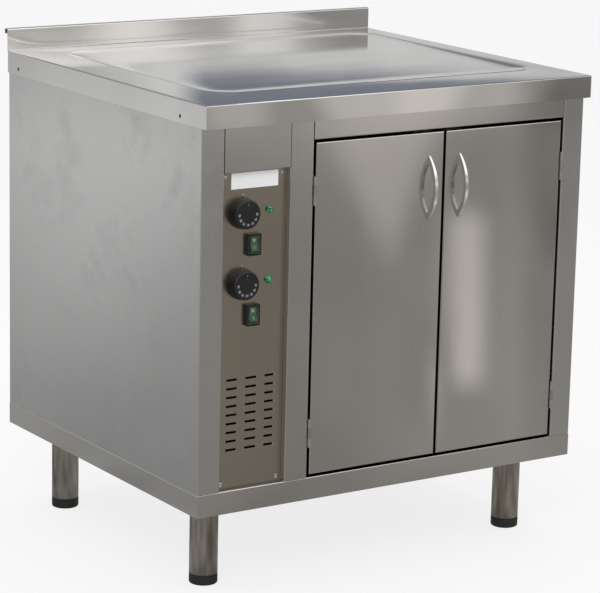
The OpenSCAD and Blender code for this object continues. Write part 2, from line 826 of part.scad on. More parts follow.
// Finned tubular heater above the base
module cabinet_heater() {
    fins = floor((heater_x1 - fins_x0) / fin_pitch);
    color("dimgray") {
        for (s = [-1, 1]) bar_x(heater_y + s * heater_gap / 2, heater_z, tube_d, heater_x0, heater_x1);
        translate([heater_x1, heater_y, heater_z]) rotate([0, 0, -90])
            rotate_extrude(angle = 180) translate([heater_gap / 2, 0]) circle(d = tube_d);
        for (s = [-1, 1], i = [0:fins - 1])
            if (abs(i - bracket_slots[0]) > 0.5 && abs(i - bracket_slots[1]) > 0.5)
                bar_x(heater_y + s * heater_gap / 2, heater_z, fin_d, fins_x0 + i * fin_pitch,
                    fins_x0 + i * fin_pitch + fin_t);
    }
}

// Feet of the cabinet heater, each an upright plate on a flange
module heater_brackets() {
    wing = 12;
    color("silver") difference() {
        for (i = bracket_slots) {
            x = fins_x0 + i * fin_pitch;
            box([x, heater_y - heater_gap / 2 - wing, deck_z],
                [x + base_t, heater_y + heater_gap / 2 + wing, heater_z + wing]);
            box([x, heater_y - heater_gap / 2 - wing, deck_z],
                [x + wing, heater_y + heater_gap / 2 + wing, deck_z + base_t]);
        }
        for (s = [-1, 1])
            bar_x(heater_y + s * heater_gap / 2, heater_z, tube_d + 0.4, heater_x0, heater_x1);
    }
}

// A tray folded down on two or four sides, with rows of air holes
module air_tray(x0, x1, y0, y1, top, drop, closed) {
    span_x = x1 - x0 - 2 * air_pitch / 2;
    span_y = y1 - y0 - 2 * air_pitch / 2;
    nx = floor(span_x / air_pitch);
    ny = floor(span_y / air_pitch);
    difference() {
        box([x0, y0, top - drop], [x1, y1, top]);
        box([x0 + sheet_t, closed ? y0 + sheet_t : y0 - 1, top - drop - 1],
            [x1 - sheet_t, closed ? y1 - sheet_t : y1 + 1, top - sheet_t]);
        for (i = [0:nx], j = [0:ny])
            translate([(x0 + x1) / 2 + (i - nx / 2) * air_pitch,
                (y0 + y1) / 2 + (j - ny / 2) * air_pitch, top - sheet_t - 1])
                cylinder(d = air_hole_d, h = sheet_t + 2);
    }
}

module heater_guard() {
    color("silver") difference() {
        air_tray(open_x0 + shelf_gap, open_x1 - shelf_gap, shelf_y, liner_y - shelf_gap,
            deck_z + guard_h, guard_h, false);
        heater_passages(open_x0 - 1, open_x0 + shelf_gap + sheet_t + 1);
    }
}

module shelf() {
    color("silver")
        air_tray(open_x0 + shelf_gap, open_x1 - shelf_gap, shelf_y, liner_y - shelf_gap,
            shelf_z + shelf_rim, shelf_rim, true);
}

// Angles on the side walls that carry the shelf
module shelf_rails() {
    rail_leg = 18;
    mid = (open_x0 + open_x1) / 2;
    half = (open_x1 - open_x0) / 2;
    color("silver")
        for (s = [0, 1])
            translate([mid, 0, 0]) mirror([s, 0, 0])
                along_y(shelf_y, liner_y - 10)
                    folded([[-half + rail_leg, shelf_z], [-half, shelf_z], [-half, shelf_z - rail_leg]],
                        sheet_t, bend_r);
}

// Thermostat housings behind the panel, each with the bush that carries the shaft
module thermostats() {
    color("gray")
        for (z = control_zs)
            difference() {
                union() {
                    box([knob_x - stat_w / 2, panel_back, z - stat_w / 2],
                        [knob_x + stat_w / 2, stat_back, z + stat_w / 2]);
                    bar_y(knob_x, z, bush_d, recess_d - 3, panel_back + 1);
                }
                bar_y(knob_x, z, shaft_d + 2 * shaft_clear, recess_d - 4, panel_back + 16);
            }
}

// Capillary tubes with the sensor bulbs at their ends
module thermostat_capillaries() {
    x = knob_x - outlet_dx;
    color("goldenrod") {
        bent_tube([[x, stat_back, control_zs[0]], [x, bulb_y, control_zs[0]], [x, bulb_y, bulb_z],
            [tray_x0 + 40, bulb_y, bulb_z]], capillary_d, 8);
        bar_x(bulb_y, bulb_z, bulb_d, tray_x0 + 30, tray_x0 + 30 + bulb_l);
        bent_tube([[x, stat_back, lower_bulb_z], [x, bulb_run_y, lower_bulb_z],
            [open_x0 + 10, bulb_run_y, lower_bulb_z]], capillary_d, 8);
        bar_x(bulb_run_y, lower_bulb_z, bulb_d, divider_x - 20, open_x0 + 30);
    }
}

module switch_bodies() {
    color("black")
        for (z = control_zs)
            translate([switch_x, 0, z - switch_drop])
                difference() {
                    union() {
                        along_y(recess_d - frame_out, recess_d)
                            round_box(-frame_w / 2, frame_w / 2, -frame_h / 2, frame_h / 2, 2);
                        box([-neck_w / 2, recess_d - 1, -neck_h / 2],
                            [neck_w / 2, panel_back + 22, neck_h / 2]);
                    }
                    box([-pocket_w / 2, recess_d - frame_out - 1, -pocket_h / 2],
                        [pocket_w / 2, pivot_y + 6, pocket_h / 2]);
                    bar_x(pivot_y, 0, pivot_d + 2 * pivot_clear, -rocker_w / 2 - 1.8, rocker_w / 2 + 1.8);
                }
}

// Clear splash caps, one over each rocker
module switch_caps() {
    cap_w = pocket_w + 5;
    cap_h = pocket_h + 5;
    front = recess_d - frame_out - cap_out;
    color("paleturquoise")
        for (z = control_zs)
            translate([switch_x, 0, z - switch_drop])
                difference() {
                    along_y(front, recess_d - frame_out)
                        round_box(-cap_w / 2, cap_w / 2, -cap_h / 2, cap_h / 2, 2);
                    along_y(front + cap_t, recess_d)
                        round_box(-cap_w / 2 + cap_t, cap_w / 2 - cap_t,
                            -cap_h / 2 + cap_t, cap_h / 2 - cap_t, 1.2);
                }
}

// A rocker with a shallow V face, on its pivot and tilted to its rest
module rocker(z) {
    half = rocker_l / 2;
    face = frame_out - 0.5;
    color("seagreen")
        translate([switch_x, pivot_y, z - switch_drop]) rotate([-rocker_tilt, 0, 0]) {
            along_x(-rocker_w / 2, rocker_w / 2)
                polygon([[-face, half], [-face + 1.5, 0], [-face, -half], [-face + 4.5, -half],
                    [1.5, -5], [1.5, 5], [-face + 4.5, half]]);
            bar_x(0, 0, pivot_d, -rocker_w / 2 - 1.5, rocker_w / 2 + 1.5);
        }
}

module upper_rocker() {
    rocker(control_zs[0]);
}

module lower_rocker() {
    rocker(control_zs[1]);
}

// Indicator lamps: a domed lens with its body behind the panel
module pilot_lamps() {
    dome = lens_h - 2;
    dome_r = (pow(lens_d / 2, 2) + pow(dome, 2)) / (2 * dome);
    color("green")
        for (z = control_zs)
            translate([lamp_x, recess_d, z + lamp_rise]) rotate([90, 0, 0])
                rotate_extrude() {
                    square([lens_d / 2, 2]);
                    intersection() {
                        translate([0, 2 + dome - dome_r]) circle(r = dome_r);
                        translate([0, 2]) square([lens_d / 2, dome]);
                    }
                    translate([0, -28]) square([lamp_d / 2, 28]);
                    translate([0, -sheet_t - 4]) square([lens_d / 2, 4]);
                }
}

// A moulded knob: a tapered skirt, a rounded shoulder and a hub inside
module knob(z) {
    r0 = knob_d / 2;
    r1 = knob_face_d / 2;
    h = knob_h - 0.5;
    shoulder = h - 3;
    color("black")
        translate([knob_x, recess_d - 0.5, z]) rotate([90, 0, 0]) rotate_extrude() {
            difference() {
                union() {
                    polygon([[0, 0], [r0, 0], [r0, 3], [r1 + 2.2, shoulder], [r1 - 0.8, h], [0, h]]);
                    translate([r1 - 0.8, shoulder]) circle(r = 3);
                }
                polygon([[shaft_d, -1], [r0 - knob_wall, -1], [r1 - knob_wall, shoulder - 1],
                    [shaft_d, shoulder - 1]]);
                translate([0, -1]) square([shaft_d + hair, 5]);
                translate([0, -1]) square([shaft_d / 2 + shaft_clear, shoulder - 1]);
            }
        }
}

module upper_knob() {
    knob(control_zs[0]);
}

module lower_knob() {
    knob(control_zs[1]);
}

module knob_shaft(z) {
    color("silver") bar_y(knob_x, z, shaft_d, recess_d - knob_h + 6, panel_back + 15);
}

module upper_shaft() {
    knob_shaft(control_zs[0]);
}

module lower_shaft() {
    knob_shaft(control_zs[1]);
}

// Terminal block on the inside of the back panel
module terminal_block() {
    ways = 5;
    way = 11;
    x0 = gland_x - ways * way / 2;
    z0 = gland_z + 50;
    y1 = back_y - sheet_t;
    color("ivory") difference() {
        union() {
            box([x0, y1 - 8, z0], [x0 + ways * way, y1, z0 + 30]);
            for (i = [0:ways - 1]) box([x0 + i * way + 1, y1 - 22, z0 + 3], [x0 + (i + 1) * way - 1, y1, z0 + 27]);
        }
        for (i = [0:ways - 1], z = [z0 + 9, z0 + 21]) bar_y(x0 + (i + 0.5) * way, z, 5, y1 - 23, y1 - 14);
    }
}

// Cable gland through the back panel, with its lock nut inside
module cable_gland() {
    nut_t = 6;
    dome_y = back_y + gland_out + sheet_t;
    color("dimgray")
        difference() {
            union() {
                bar_y(gland_x, gland_z, gland_d, back_y - sheet_t - nut_t, back_y + 1);
                translate([gland_x, back_y + nut_t, gland_z]) rotate([90, 0, 0])
                    cylinder(d = gland_d + 8, h = nut_t, $fn = 6);
                translate([gland_x, back_y - sheet_t, gland_z]) rotate([90, 0, 0])
                    cylinder(d = gland_d + 8, h = nut_t, $fn = 6);
                translate([gland_x, back_y + nut_t, gland_z]) rotate([-90, 0, 0])
                    rotate_extrude() {
                        square([gland_d / 2 + 1, gland_out + sheet_t - nut_t - 4]);
                        square([gland_bore / 2 + 2, gland_out + sheet_t - nut_t]);
                        translate([gland_d / 2 - 3, gland_out + sheet_t - nut_t - 4]) circle(r = 4);
                    }
            }
            bar_y(gland_x, gland_z, gland_bore, back_y - 20, dome_y + 1);
        }
}

// Magnetic catches under the rail, one behind the free edge of each door
module door_catches() {
    y0 = door_t + strike_t - liner_sink + catch_gap;
    body = 20;
    color("whitesmoke")
        for (x = strike_xs)
            difference() {
                union() {
                    box([x - strike_w / 2 - 3, y0 + 1, rail_z - strike_h + 1],
                        [x + strike_w / 2 + 3, y0 + body, rail_z]);
                    for (s = [-1, 1])
                        box([x - strike_w / 2 + 2, y0, rail_z - strike_h / 2 + s * 4 - 1],
                            [x + strike_w / 2 - 2, y0 + 2, rail_z - strike_h / 2 + s * 4 + 1]);
                }
                translate([x, y0 + body / 2 + 3, rail_z - strike_h]) cylinder(d = 4, h = 10);
            }
}

// Puts a shape drawn from the hinge edge of a door onto the left or the right door
module on_door(right) {
    translate([right ? right_x1 : left_x0, 0, 0]) mirror([right ? 1 : 0, 0, 0]) children();
}

// Outer sheet of a door with its folded edges
module door_skin(w) {
    color("silver") difference() {
        intersection() {
            along_z(door_z0, door_z1) round_front(0, w, door_t, door_edge_r);
            along_x(0, w) rotate(90) mirror([0, 1]) round_front(door_z0, door_z1, door_t, door_edge_r);
        }
        box([sheet_t, sheet_t, door_z0 + sheet_t], [w - sheet_t, door_t + 1, door_z1 - sheet_t]);
        for (s = [-1, 1])
            bar_y(w - handle_inset, handle_z + s * handle_pitch / 2, handle_screw_d + 2 * hole_play,
                -1, sheet_t + 1);
    }
}

// Inner sheet of a door, a shallow pan set into the outer one
module door_liner(w) {
    rim = sheet_t + liner_gap;
    back = door_t - liner_sink;
    color("lightgray") difference() {
        box([rim, back - liner_rim, door_z0 + rim], [w - rim, back, door_z1 - rim]);
        box([rim + sheet_t, back - liner_rim - 1, door_z0 + rim + sheet_t],
            [w - rim - sheet_t, back - sheet_t, door_z1 - rim - sheet_t]);
    }
}

// Height of the centre of an arc that spans a chord l and rises h above it, below the chord
function arc_r(l, h) = (pow(l / 2, 2) + pow(h, 2)) / (2 * h);

// A bow handle: two arcs in side view, narrowed to its tips in front view
module bow_handle(w) {
    outer_r = arc_r(handle_l, handle_out);
    inner_r = arc_r(handle_span, handle_clear);
    // The front view narrows from the middle to the tips
    steps = 6;
    edge = [for (i = [-steps:steps])
        [(handle_tip_w + (handle_w - handle_tip_w) * cos(90 * i / steps)) / 2,
            handle_l / 2 * i / steps * 1.01]];
    color("silver")
        translate([w - handle_inset, 0, handle_z]) difference() {
            intersection() {
                along_x(-handle_w, handle_w)
                    difference() {
                        intersection() {
                            translate([outer_r - handle_out, 0]) circle(r = outer_r, $fn = 128);
                            translate([-handle_out - 1, -handle_l]) square([handle_out + 1, 2 * handle_l]);
                        }
                        translate([inner_r - handle_clear, 0]) circle(r = inner_r, $fn = 128);
                    }
                along_y(-handle_out - 1, 1)
                    polygon(concat(edge, [for (i = [2 * steps:-1:0]) [-edge[i][0], edge[i][1]]]));
            }
            for (s = [-1, 1]) bar_y(0, s * handle_pitch / 2, handle_screw_d + hole_play, -5, 1);
        }
}

// Screws that hold a handle from inside the door
module handle_screws(w) {
    color("gray")
        for (s = [-1, 1])
            translate([w - handle_inset, 0, handle_z + s * handle_pitch / 2]) {
                bar_y(0, 0, handle_screw_d, -4.5, sheet_t + 1);
                bar_y(0, 0, 2 * handle_screw_d, sheet_t, sheet_t + 2);
            }
}

module door_strike(w) {
    back = door_t - liner_sink;
    color("gray")
        box([w - strike_in - strike_w, back, rail_z - strike_h / 2 - 6],
            [w - strike_in, back + strike_t, rail_z - strike_h / 2 + 4 - door_gap / 2]);
}

// Door leaves of the hinges: the middle knuckle and the leaf on the edge of the door
module hinge_door_leaves() {
    color("silver")
        for (z = hinge_zs)
            difference() {
                union() {
                    along_z(z - hinge_l / 2, z + hinge_l / 2)
                        translate([-leaf_t, 1.6]) square([leaf_t, leaf_d - 1.6]);
                    along_z(z - knuckle_mid / 2, z + knuckle_mid / 2) {
                        translate([-leaf_t, -axis_out]) square([leaf_t, leaf_d / 2]);
                        translate([-door_gap / 2, -axis_out]) circle(d = knuckle_d);
                    }
                }
                translate([-door_gap / 2, -axis_out, z - hinge_l])
                    cylinder(d = pin_d + 2 * pin_clear, h = 2 * hinge_l);
            }
}

// Frame leaves of the hinges: two outer knuckles each and the leaf on the post
module hinge_frame_leaf_pair() {
    for (z = hinge_zs)
        difference() {
            union() {
                along_z(z - hinge_l / 2, z + hinge_l / 2)
                    translate([-door_gap, 1.6]) square([leaf_t, leaf_d - 1.6]);
                for (s = [-1, 1])
                    translate([0, 0, z + s * (hinge_l + knuckle_mid + 2 * knuckle_gap) / 4])
                        linear_extrude((hinge_l - knuckle_mid - 2 * knuckle_gap) / 2, center = true) {
                            translate([-door_gap, -axis_out]) square([leaf_t, leaf_d / 2]);
                            translate([-door_gap / 2, -axis_out]) circle(d = knuckle_d);
                        }
            }
            translate([-door_gap / 2, -axis_out, z - hinge_l])
                cylinder(d = pin_d + 2 * pin_fix_clear, h = 2 * hinge_l);
        }
}

module hinge_frame_leaves() {
    color("silver") for (right = [false, true]) on_door(right) hinge_frame_leaf_pair();
}

module hinge_pins() {
    color("gray")
        for (right = [false, true]) on_door(right)
            for (z = hinge_zs)
                translate([-door_gap / 2, -axis_out, z - hinge_l / 2]) cylinder(d = pin_d, h = hinge_l);
}

module left_door_skin() {
    on_door(false) door_skin(left_door_w);
}

module left_door_liner() {
    on_door(false) door_liner(left_door_w);
}

module left_door_handle() {
    on_door(false) bow_handle(left_door_w);
}

module left_door_handle_screws() {
    on_door(false) handle_screws(left_door_w);
}

module left_door_hinge_leaves() {
    on_door(false) hinge_door_leaves();
}

module left_door_strike() {
    on_door(false) door_strike(left_door_w);
}

module right_door_skin() {
    on_door(true) door_skin(right_door_w);
}

module right_door_liner() {
    on_door(true) door_liner(right_door_w);
}

module right_door_handle() {
    on_door(true) bow_handle(right_door_w);
}

module right_door_handle_screws() {
    on_door(true) handle_screws(right_door_w);
}

module right_door_hinge_leaves() {
    on_door(true) hinge_door_leaves();
}

module right_door_strike() {
    on_door(true) door_strike(right_door_w);
}

// Round tubes of the four legs
module legs() {
    color("silver")
        for (x = leg_xs, y = leg_ys)
            translate([x, y, foot_h]) difference() {
                cylinder(d = leg_d, h = leg_top - foot_h);
                translate([0, 0, -1]) cylinder(d = leg_d - 2 * leg_wall, h = leg_top - foot_h + 2);
            }
}

// Square flanges that fix the legs under the base
module leg_flanges() {
    color("silver")
        for (x = leg_xs, y = leg_ys)
            box([x - flange_w / 2, y - flange_w / 2, leg_top],
                [x + flange_w / 2, y + flange_w / 2, leg_top + flange_t]);
}

// Plugs in the lower ends of the legs that guide the stems of the feet
module leg_plugs() {
    color("black")
        for (x = leg_xs, y = leg_ys)
            translate([x, y, foot_h - collar_t]) difference() {
                union() {
                    cylinder(d = leg_d, h = collar_t);
                    cylinder(d = leg_d - 2 * leg_wall - hole_play, h = collar_t + plug_h);
                }
                translate([0, 0, -1]) cylinder(d = stem_d + 2 * stem_clear, h = collar_t + plug_h + 2);
            }
}

// A foot: a puck with a rounded lower edge on a stem
module foot(i, j) {
    puck = foot_h - collar_t - foot_gap;
    r = 3;
    color("black")
        translate([leg_xs[i], leg_ys[j], 0]) rotate_extrude() {
            translate([0, r]) square([leg_d / 2, puck - r]);
            square([leg_d / 2 - r, puck]);
            translate([leg_d / 2 - r, r]) circle(r = r);
            square([stem_d / 2, puck + plug_h + foot_travel]);
        }
}

module front_left_foot() {
    foot(0, 0);
}

module front_right_foot() {
    foot(1, 0);
}

module rear_left_foot() {
    foot(0, 1);
}

module rear_right_foot() {
    foot(1, 1);
}

translate([0, front_y, 0]) {
    worktop();
    worktop_channels();
    top_heater();
    top_heater_tray();
    worktop_side_screws();
    left_side_panel();
    right_side_panel();
    back_panel();
    base_tray();
    middle_post();
    door_rail();
    control_header();
    control_panel();
    control_panel_screws();
    blank_plate();
    panel_brackets();
    divider_panel();
    cabinet_liner();
    ceiling_liner();
    insulation();
    cabinet_heater();
    heater_brackets();
    heater_guard();
    shelf();
    shelf_rails();
    thermostats();
    thermostat_capillaries();
    switch_bodies();
    switch_caps();
    pilot_lamps();
    terminal_block();
    cable_gland();
    door_catches();
    hinge_frame_leaves();
    hinge_pins();
    legs();
    leg_flanges();
    leg_plugs();
    left_door_skin();
    left_door_liner();
    left_door_handle();
    left_door_handle_screws();
    left_door_hinge_leaves();
    left_door_strike();
    right_door_skin();
    right_door_liner();
    right_door_handle();
    right_door_handle_screws();
    right_door_hinge_leaves();
    right_door_strike();
    upper_knob();
    lower_knob();
    upper_shaft();
    lower_shaft();
    upper_rocker();
    lower_rocker();
    front_left_foot();
    front_right_foot();
    rear_left_foot();
    rear_right_foot();
}
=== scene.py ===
# %% [markdown]
# # Plate warmer cabinet
# A stainless steel cupboard with a heated worktop, two doors and a panel of controls. The frame
# brings in every measured part, in metres, with its place in its mesh. This notebook gives each
# of them its finish, and models again those whose fine edges catch the light.

# %% Load the frame
import json
import math

import bpy
from mathutils import Matrix, Vector

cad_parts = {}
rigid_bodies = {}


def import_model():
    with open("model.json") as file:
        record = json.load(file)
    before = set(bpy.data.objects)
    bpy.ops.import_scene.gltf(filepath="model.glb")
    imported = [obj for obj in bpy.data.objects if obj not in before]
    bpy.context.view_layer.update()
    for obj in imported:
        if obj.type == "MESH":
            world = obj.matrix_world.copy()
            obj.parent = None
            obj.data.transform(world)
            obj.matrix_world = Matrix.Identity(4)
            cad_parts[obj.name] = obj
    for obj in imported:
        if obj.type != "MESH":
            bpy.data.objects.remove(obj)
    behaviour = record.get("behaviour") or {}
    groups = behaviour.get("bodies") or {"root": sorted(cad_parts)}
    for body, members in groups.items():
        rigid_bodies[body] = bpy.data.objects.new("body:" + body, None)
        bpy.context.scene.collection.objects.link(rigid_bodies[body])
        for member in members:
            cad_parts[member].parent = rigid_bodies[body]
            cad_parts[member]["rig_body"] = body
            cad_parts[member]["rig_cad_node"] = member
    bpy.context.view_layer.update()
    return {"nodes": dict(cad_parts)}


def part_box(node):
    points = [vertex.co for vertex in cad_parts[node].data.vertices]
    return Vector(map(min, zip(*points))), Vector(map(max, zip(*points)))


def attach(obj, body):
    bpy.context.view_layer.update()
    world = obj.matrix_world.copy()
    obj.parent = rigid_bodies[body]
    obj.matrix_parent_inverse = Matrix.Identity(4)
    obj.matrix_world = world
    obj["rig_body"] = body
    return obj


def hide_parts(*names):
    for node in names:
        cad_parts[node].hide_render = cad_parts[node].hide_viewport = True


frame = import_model()
nodes = frame["nodes"]

# %% [markdown]
# ## Measured faces
# New pieces lie on the measured ones, so their places are read from the frame. If the cabinet is
# built in another size, they move with it.

# %% Faces that new pieces refer to
LEVELS = ("upper", "lower")
worktop_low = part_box("worktop")[0]
door_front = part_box("left_door_skin")[0][1]
panel_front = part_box("control_panel")[0][1]
print("doors at y", round(door_front, 4), "control panel at y", round(panel_front, 4))

# %% [markdown]
# ## The camera
# The photograph was taken a little above the worktop, from the left. Fitting a pinhole camera to
# the cabinet's straight edges gives its place, its three angles and its focal length. The place
# is measured from the point on the floor under the left front corner of the worktop.

# %% Camera
MM = 0.001
IMAGE_WIDTH = 600
SENSOR = 36.0
FOCAL_PIXELS = 2707.4
YAW = math.radians(33.49)
PITCH = math.radians(-13.13)
ROLL = math.radians(1.31)
CAMERA_FROM_CORNER = Vector((-2261.1, -3719.8, 1553.6)) * MM
corner = Vector((worktop_low[0], door_front, 0.0))

forward = Vector((math.sin(YAW) * math.cos(PITCH), math.cos(YAW) * math.cos(PITCH), math.sin(PITCH)))
sideways = Vector((math.cos(YAW), -math.sin(YAW), 0.0))
upright = sideways.cross(forward)
right = sideways * math.cos(ROLL) + upright * math.sin(ROLL)
up = upright * math.cos(ROLL) - sideways * math.sin(ROLL)

camera_data = bpy.data.cameras.new("photo_camera")
camera_data.sensor_width = SENSOR
camera_data.lens = FOCAL_PIXELS / IMAGE_WIDTH * SENSOR
camera_data.clip_end = 50.0
camera = bpy.data.objects.new("photo_camera", camera_data)
bpy.context.scene.collection.objects.link(camera)
camera.matrix_world = Matrix.Translation(corner + CAMERA_FROM_CORNER) @ Matrix(
    (right, up, -forward)).transposed().to_4x4()
bpy.context.scene.camera = camera
bpy.context.scene.view_settings.view_transform = "Standard"
print("camera at", [round(value, 3) for value in camera.location], "lens", round(camera_data.lens, 1))

# %% [markdown]
# ## Writing shader maths in Python
# A pattern can be built by hand in the node editor, but nodes are easier to read as expressions.
# A small class wraps a socket and turns the usual signs into Math nodes. A second class holds the
# node tree, and its one method adds any other node by its type, its settings and its sockets.

# %% Socket expressions
class Value:
    """A number that varies over a surface, held as an output socket."""

    def __init__(self, graph, socket):
        self.graph = graph
        self.socket = socket

    def _math(self, operation, *values):
        node = self.graph.node("ShaderNodeMath", {"operation": operation}, dict(enumerate(values)))
        return Value(self.graph, node.outputs[0])

    def __add__(self, other):
        return self._math("ADD", self, other)

    def __radd__(self, other):
        return self._math("ADD", other, self)

    def __sub__(self, other):
        return self._math("SUBTRACT", self, other)

    def __rsub__(self, other):
        return self._math("SUBTRACT", other, self)

    def __mul__(self, other):
        return self._math("MULTIPLY", self, other)

    def __rmul__(self, other):
        return self._math("MULTIPLY", other, self)

    def __truediv__(self, other):
        return self._math("DIVIDE", self, other)

    def __rtruediv__(self, other):
        return self._math("DIVIDE", other, self)

    def __lt__(self, other):
        return self._math("LESS_THAN", self, other)

    def abs(self):
        return self._math("ABSOLUTE", self)

    def at_least(self, low):
        return self._math("MAXIMUM", self, low)

    def at_most(self, high):
        return self._math("MINIMUM", self, high)

    def clamp(self):
        return self.at_least(0.0).at_most(1.0)

    def angle_from(self, other):
        """The angle whose tangent is this value over the other, in radians."""
        return self._math("ARCTAN2", self, other)


# %% Node trees
class Graph:
    """The node tree of one material, or of the world."""

    def __init__(self, owner):
        self.owner = owner
        owner.use_nodes = True
        self.tree = owner.node_tree
        self.tree.nodes.clear()
        self.coordinates = None

    def node(self, kind, settings=None, sockets=None):
        """One node: its settings first, then the values or links of its sockets."""
        made = self.tree.nodes.new(kind)
        for key, value in (settings or {}).items():
            if key == "stops":
                ramp = made.color_ramp
                while len(ramp.elements) < len(value):
                    ramp.elements.new(0.5)
                for element, (position, color) in zip(ramp.elements, value):
                    element.position = position
                    element.color = color
            else:
                setattr(made, key, value)
        for key, value in (sockets or {}).items():
            if isinstance(value, Value):
                value = value.socket
            if isinstance(value, bpy.types.NodeSocket):
                self.tree.links.new(value, made.inputs[key])
            else:
                made.inputs[key].default_value = value
        return made

    def place(self):
        """Object coordinates, from one node that every pattern of the tree shares."""
        if self.coordinates is None:
            self.coordinates = self.node("ShaderNodeTexCoord").outputs["Object"]
        return self.coordinates

    def noise(self, scale, detail=3.0, stretch=(1.0, 1.0, 1.0), rough=0.5, move=0.0):
        """Soft random values from 0 to 1."""
        moved = self.node("ShaderNodeMapping", {}, {
            "Vector": self.place(), "Location": (move, move, move), "Scale": stretch})
        made = self.node("ShaderNodeTexNoise", {}, {
            "Vector": moved.outputs[0], "Scale": scale, "Detail": detail, "Roughness": rough})
        return Value(self, made.outputs[0])

    def axis(self, letter):
        """One object coordinate, in metres."""
        made = self.node("ShaderNodeSeparateXYZ", {}, {"Vector": self.place()})
        return Value(self, made.outputs[letter])

    def mix(self, amount, first, second):
        """A colour between two, by an amount from 0 to 1."""
        made = self.node("ShaderNodeMix", {"data_type": "RGBA"}, {0: amount, 6: first, 7: second})
        return made.outputs[2]

    def ramp(self, value, stops):
        """A colour that follows a value through the given stops."""
        made = self.node("ShaderNodeValToRGB", {"stops": stops}, {0: value})
        return made.outputs[0]

    def bump(self, height, strength, distance):
        """A normal that makes the surface look raised where height is large."""
        made = self.node("ShaderNodeBump", {}, {
            "Height": height, "Strength": strength, "Distance": distance})
        return made.outputs[0]

    def end(self, shader, output="ShaderNodeOutputMaterial"):
        """Links the last shader to the output of the tree."""
        self.node(output, {}, {"Surface": shader.outputs[0]})
        return self.owner

    def finish(self, **sockets):
        """Ends the tree in one Principled shader, under short names for its sockets."""
        names = {"base": "Base Color", "metallic": "Metallic", "roughness": "Roughness",
                 "normal": "Normal", "ior": "IOR", "coat": "Coat Weight",
                 "coat_roughness": "Coat Roughness", "transmission": "Transmission Weight"}
        return self.end(self.node("ShaderNodeBsdfPrincipled", {}, {
            names[key]: value for key, value in sockets.items()}))


# %% [markdown]
# ## Dressing the measured parts
# A measured part keeps its mesh as it is and only changes its material. Most of the metals are
# greys that lean a little to yellow, so one function works such a colour out from two numbers,
# which is easier to tune than three.

# %% Colours and dressing
def new_finish(name):
    """The empty node tree of a new material."""
    return Graph(bpy.data.materials.new(name))


def grey(level, warm=0.0):
    """A near-neutral colour. A positive warm value leans to yellow."""
    return (level * (1.0 + warm), level, level * (1.0 - warm * 1.6), 1.0)


def dress(material, *names):
    """Gives measured nodes one material."""
    for name in names:
        nodes[name].data.materials.clear()
        nodes[name].data.materials.append(material)
    print(material.name, "on", len(names), "nodes")


# %% [markdown]
# ## Brushed stainless steel
# The sheets were ground along one direction before they were folded, so each has long hair lines.
# A real brushed sheet shows three things at once: a soft mirror image, fine lines that stretch
# the highlights across their direction, and slow cloudy changes from handling. A picture of
# brushed steel could be laid on, but it would repeat. Here the lines are a noise squeezed along
# one axis that feeds the bump and the roughness, and the clouds are a second noise of low scale
# that changes the roughness and the colour a little. A few sheets have smudges, or a slow wave.

# %% Steel as a function
HAIR_SCALE = 14.0
HAIR_STRETCH = 60.0
BROAD_SCALE = 4.0
BROAD_STRETCH = HAIR_STRETCH ** 0.4
CLOUD_SCALE = 3.5
SMUDGE_SCALE = 7.0
SMUDGE_START = 0.52
WAVE_SCALE = 3.0
WAVE_STRETCH = (1.5, 1.0, 0.6)


def along_axis(letter, across):
    """Scales that squeeze a pattern across one axis, so that it runs along that axis."""
    return tuple(1.0 if axis == letter else across for axis in "XYZ")


def steel(name, level, along, warm=0.02, rough=0.24, cloud=0.05, hair=0.10, smudge=0.0,
          wave=0.0, scratch=0.00003):
    """Brushed sheet. along is the axis of the hair lines; wave and scratch are depths in metres."""
    graph = new_finish(name)
    lines = graph.noise(HAIR_SCALE, 6.0, along_axis(along, HAIR_STRETCH), rough=0.65)
    broad = graph.noise(BROAD_SCALE, 3.0, along_axis(along, BROAD_STRETCH), move=1.7)
    clouds = graph.noise(CLOUD_SCALE, 4.0, rough=0.6, move=4.2)
    base = graph.mix((lines - 0.5) * 0.5 + (clouds - 0.5) * 0.9 + 0.5,
                     grey(level * 0.90, warm), grey(level * 1.06, warm * 0.6))
    roughness = rough + (lines - 0.5) * hair + (clouds - 0.5) * cloud + (broad - 0.5) * 0.06
    if smudge:
        marks = graph.noise(SMUDGE_SCALE, 5.0, rough=0.72, move=8.5)
        marks = ((marks - SMUDGE_START) * 2.0).clamp()
        roughness = roughness + marks * smudge
        base = graph.mix(marks * smudge * 2.0, base, grey(level * 0.8, warm))
    relief = lines * scratch
    if wave:
        relief = relief + graph.noise(WAVE_SCALE, 1.0, WAVE_STRETCH, move=6.1) * wave
    return graph.finish(base=base, metallic=1.0, roughness=roughness,
                        normal=graph.bump(relief, 1.0, 1.0))


# %% Steel on the sheets
steel_side = steel("side_steel", 0.60, "Y", warm=0.0, rough=0.26, cloud=0.16, smudge=0.35)
steel_upright = steel("upright_steel", 0.58, "Z", rough=0.22, wave=0.0012)
steel_across = steel("across_steel", 0.60, "X", rough=0.20, wave=0.0012)
steel_door = steel("door_steel", 0.58, "Z", rough=0.12, cloud=0.05, smudge=0.04, wave=0.0014,
                   scratch=0.00002)
steel_panel = steel("panel_steel", 0.40, "Z", warm=0.12, rough=0.24)
steel_top = steel("top_steel", 0.66, "X", warm=0.01, rough=0.085, cloud=0.03, hair=0.04,
                  scratch=0.000006)
steel_inner = steel("inner_steel", 0.58, "Z", rough=0.30)
# Painted reflection: the legs' steel is given a darker, warmer colour than the sheets, for the dark
# ground that they mirror.
steel_leg = steel("leg_steel", 0.36, "Z", warm=0.09, rough=0.16)
dress(steel_side, "left_side_panel", "right_side_panel", "back_panel")
dress(steel_upright, "middle_post")
dress(steel_across, "door_rail", "control_header", "base_tray", "hinge_frame_leaves")
dress(steel_door, "left_door_skin", "right_door_skin")
dress(steel_panel, "control_panel")
dress(steel_top, "worktop")
dress(steel_leg, "legs", "leg_flanges")
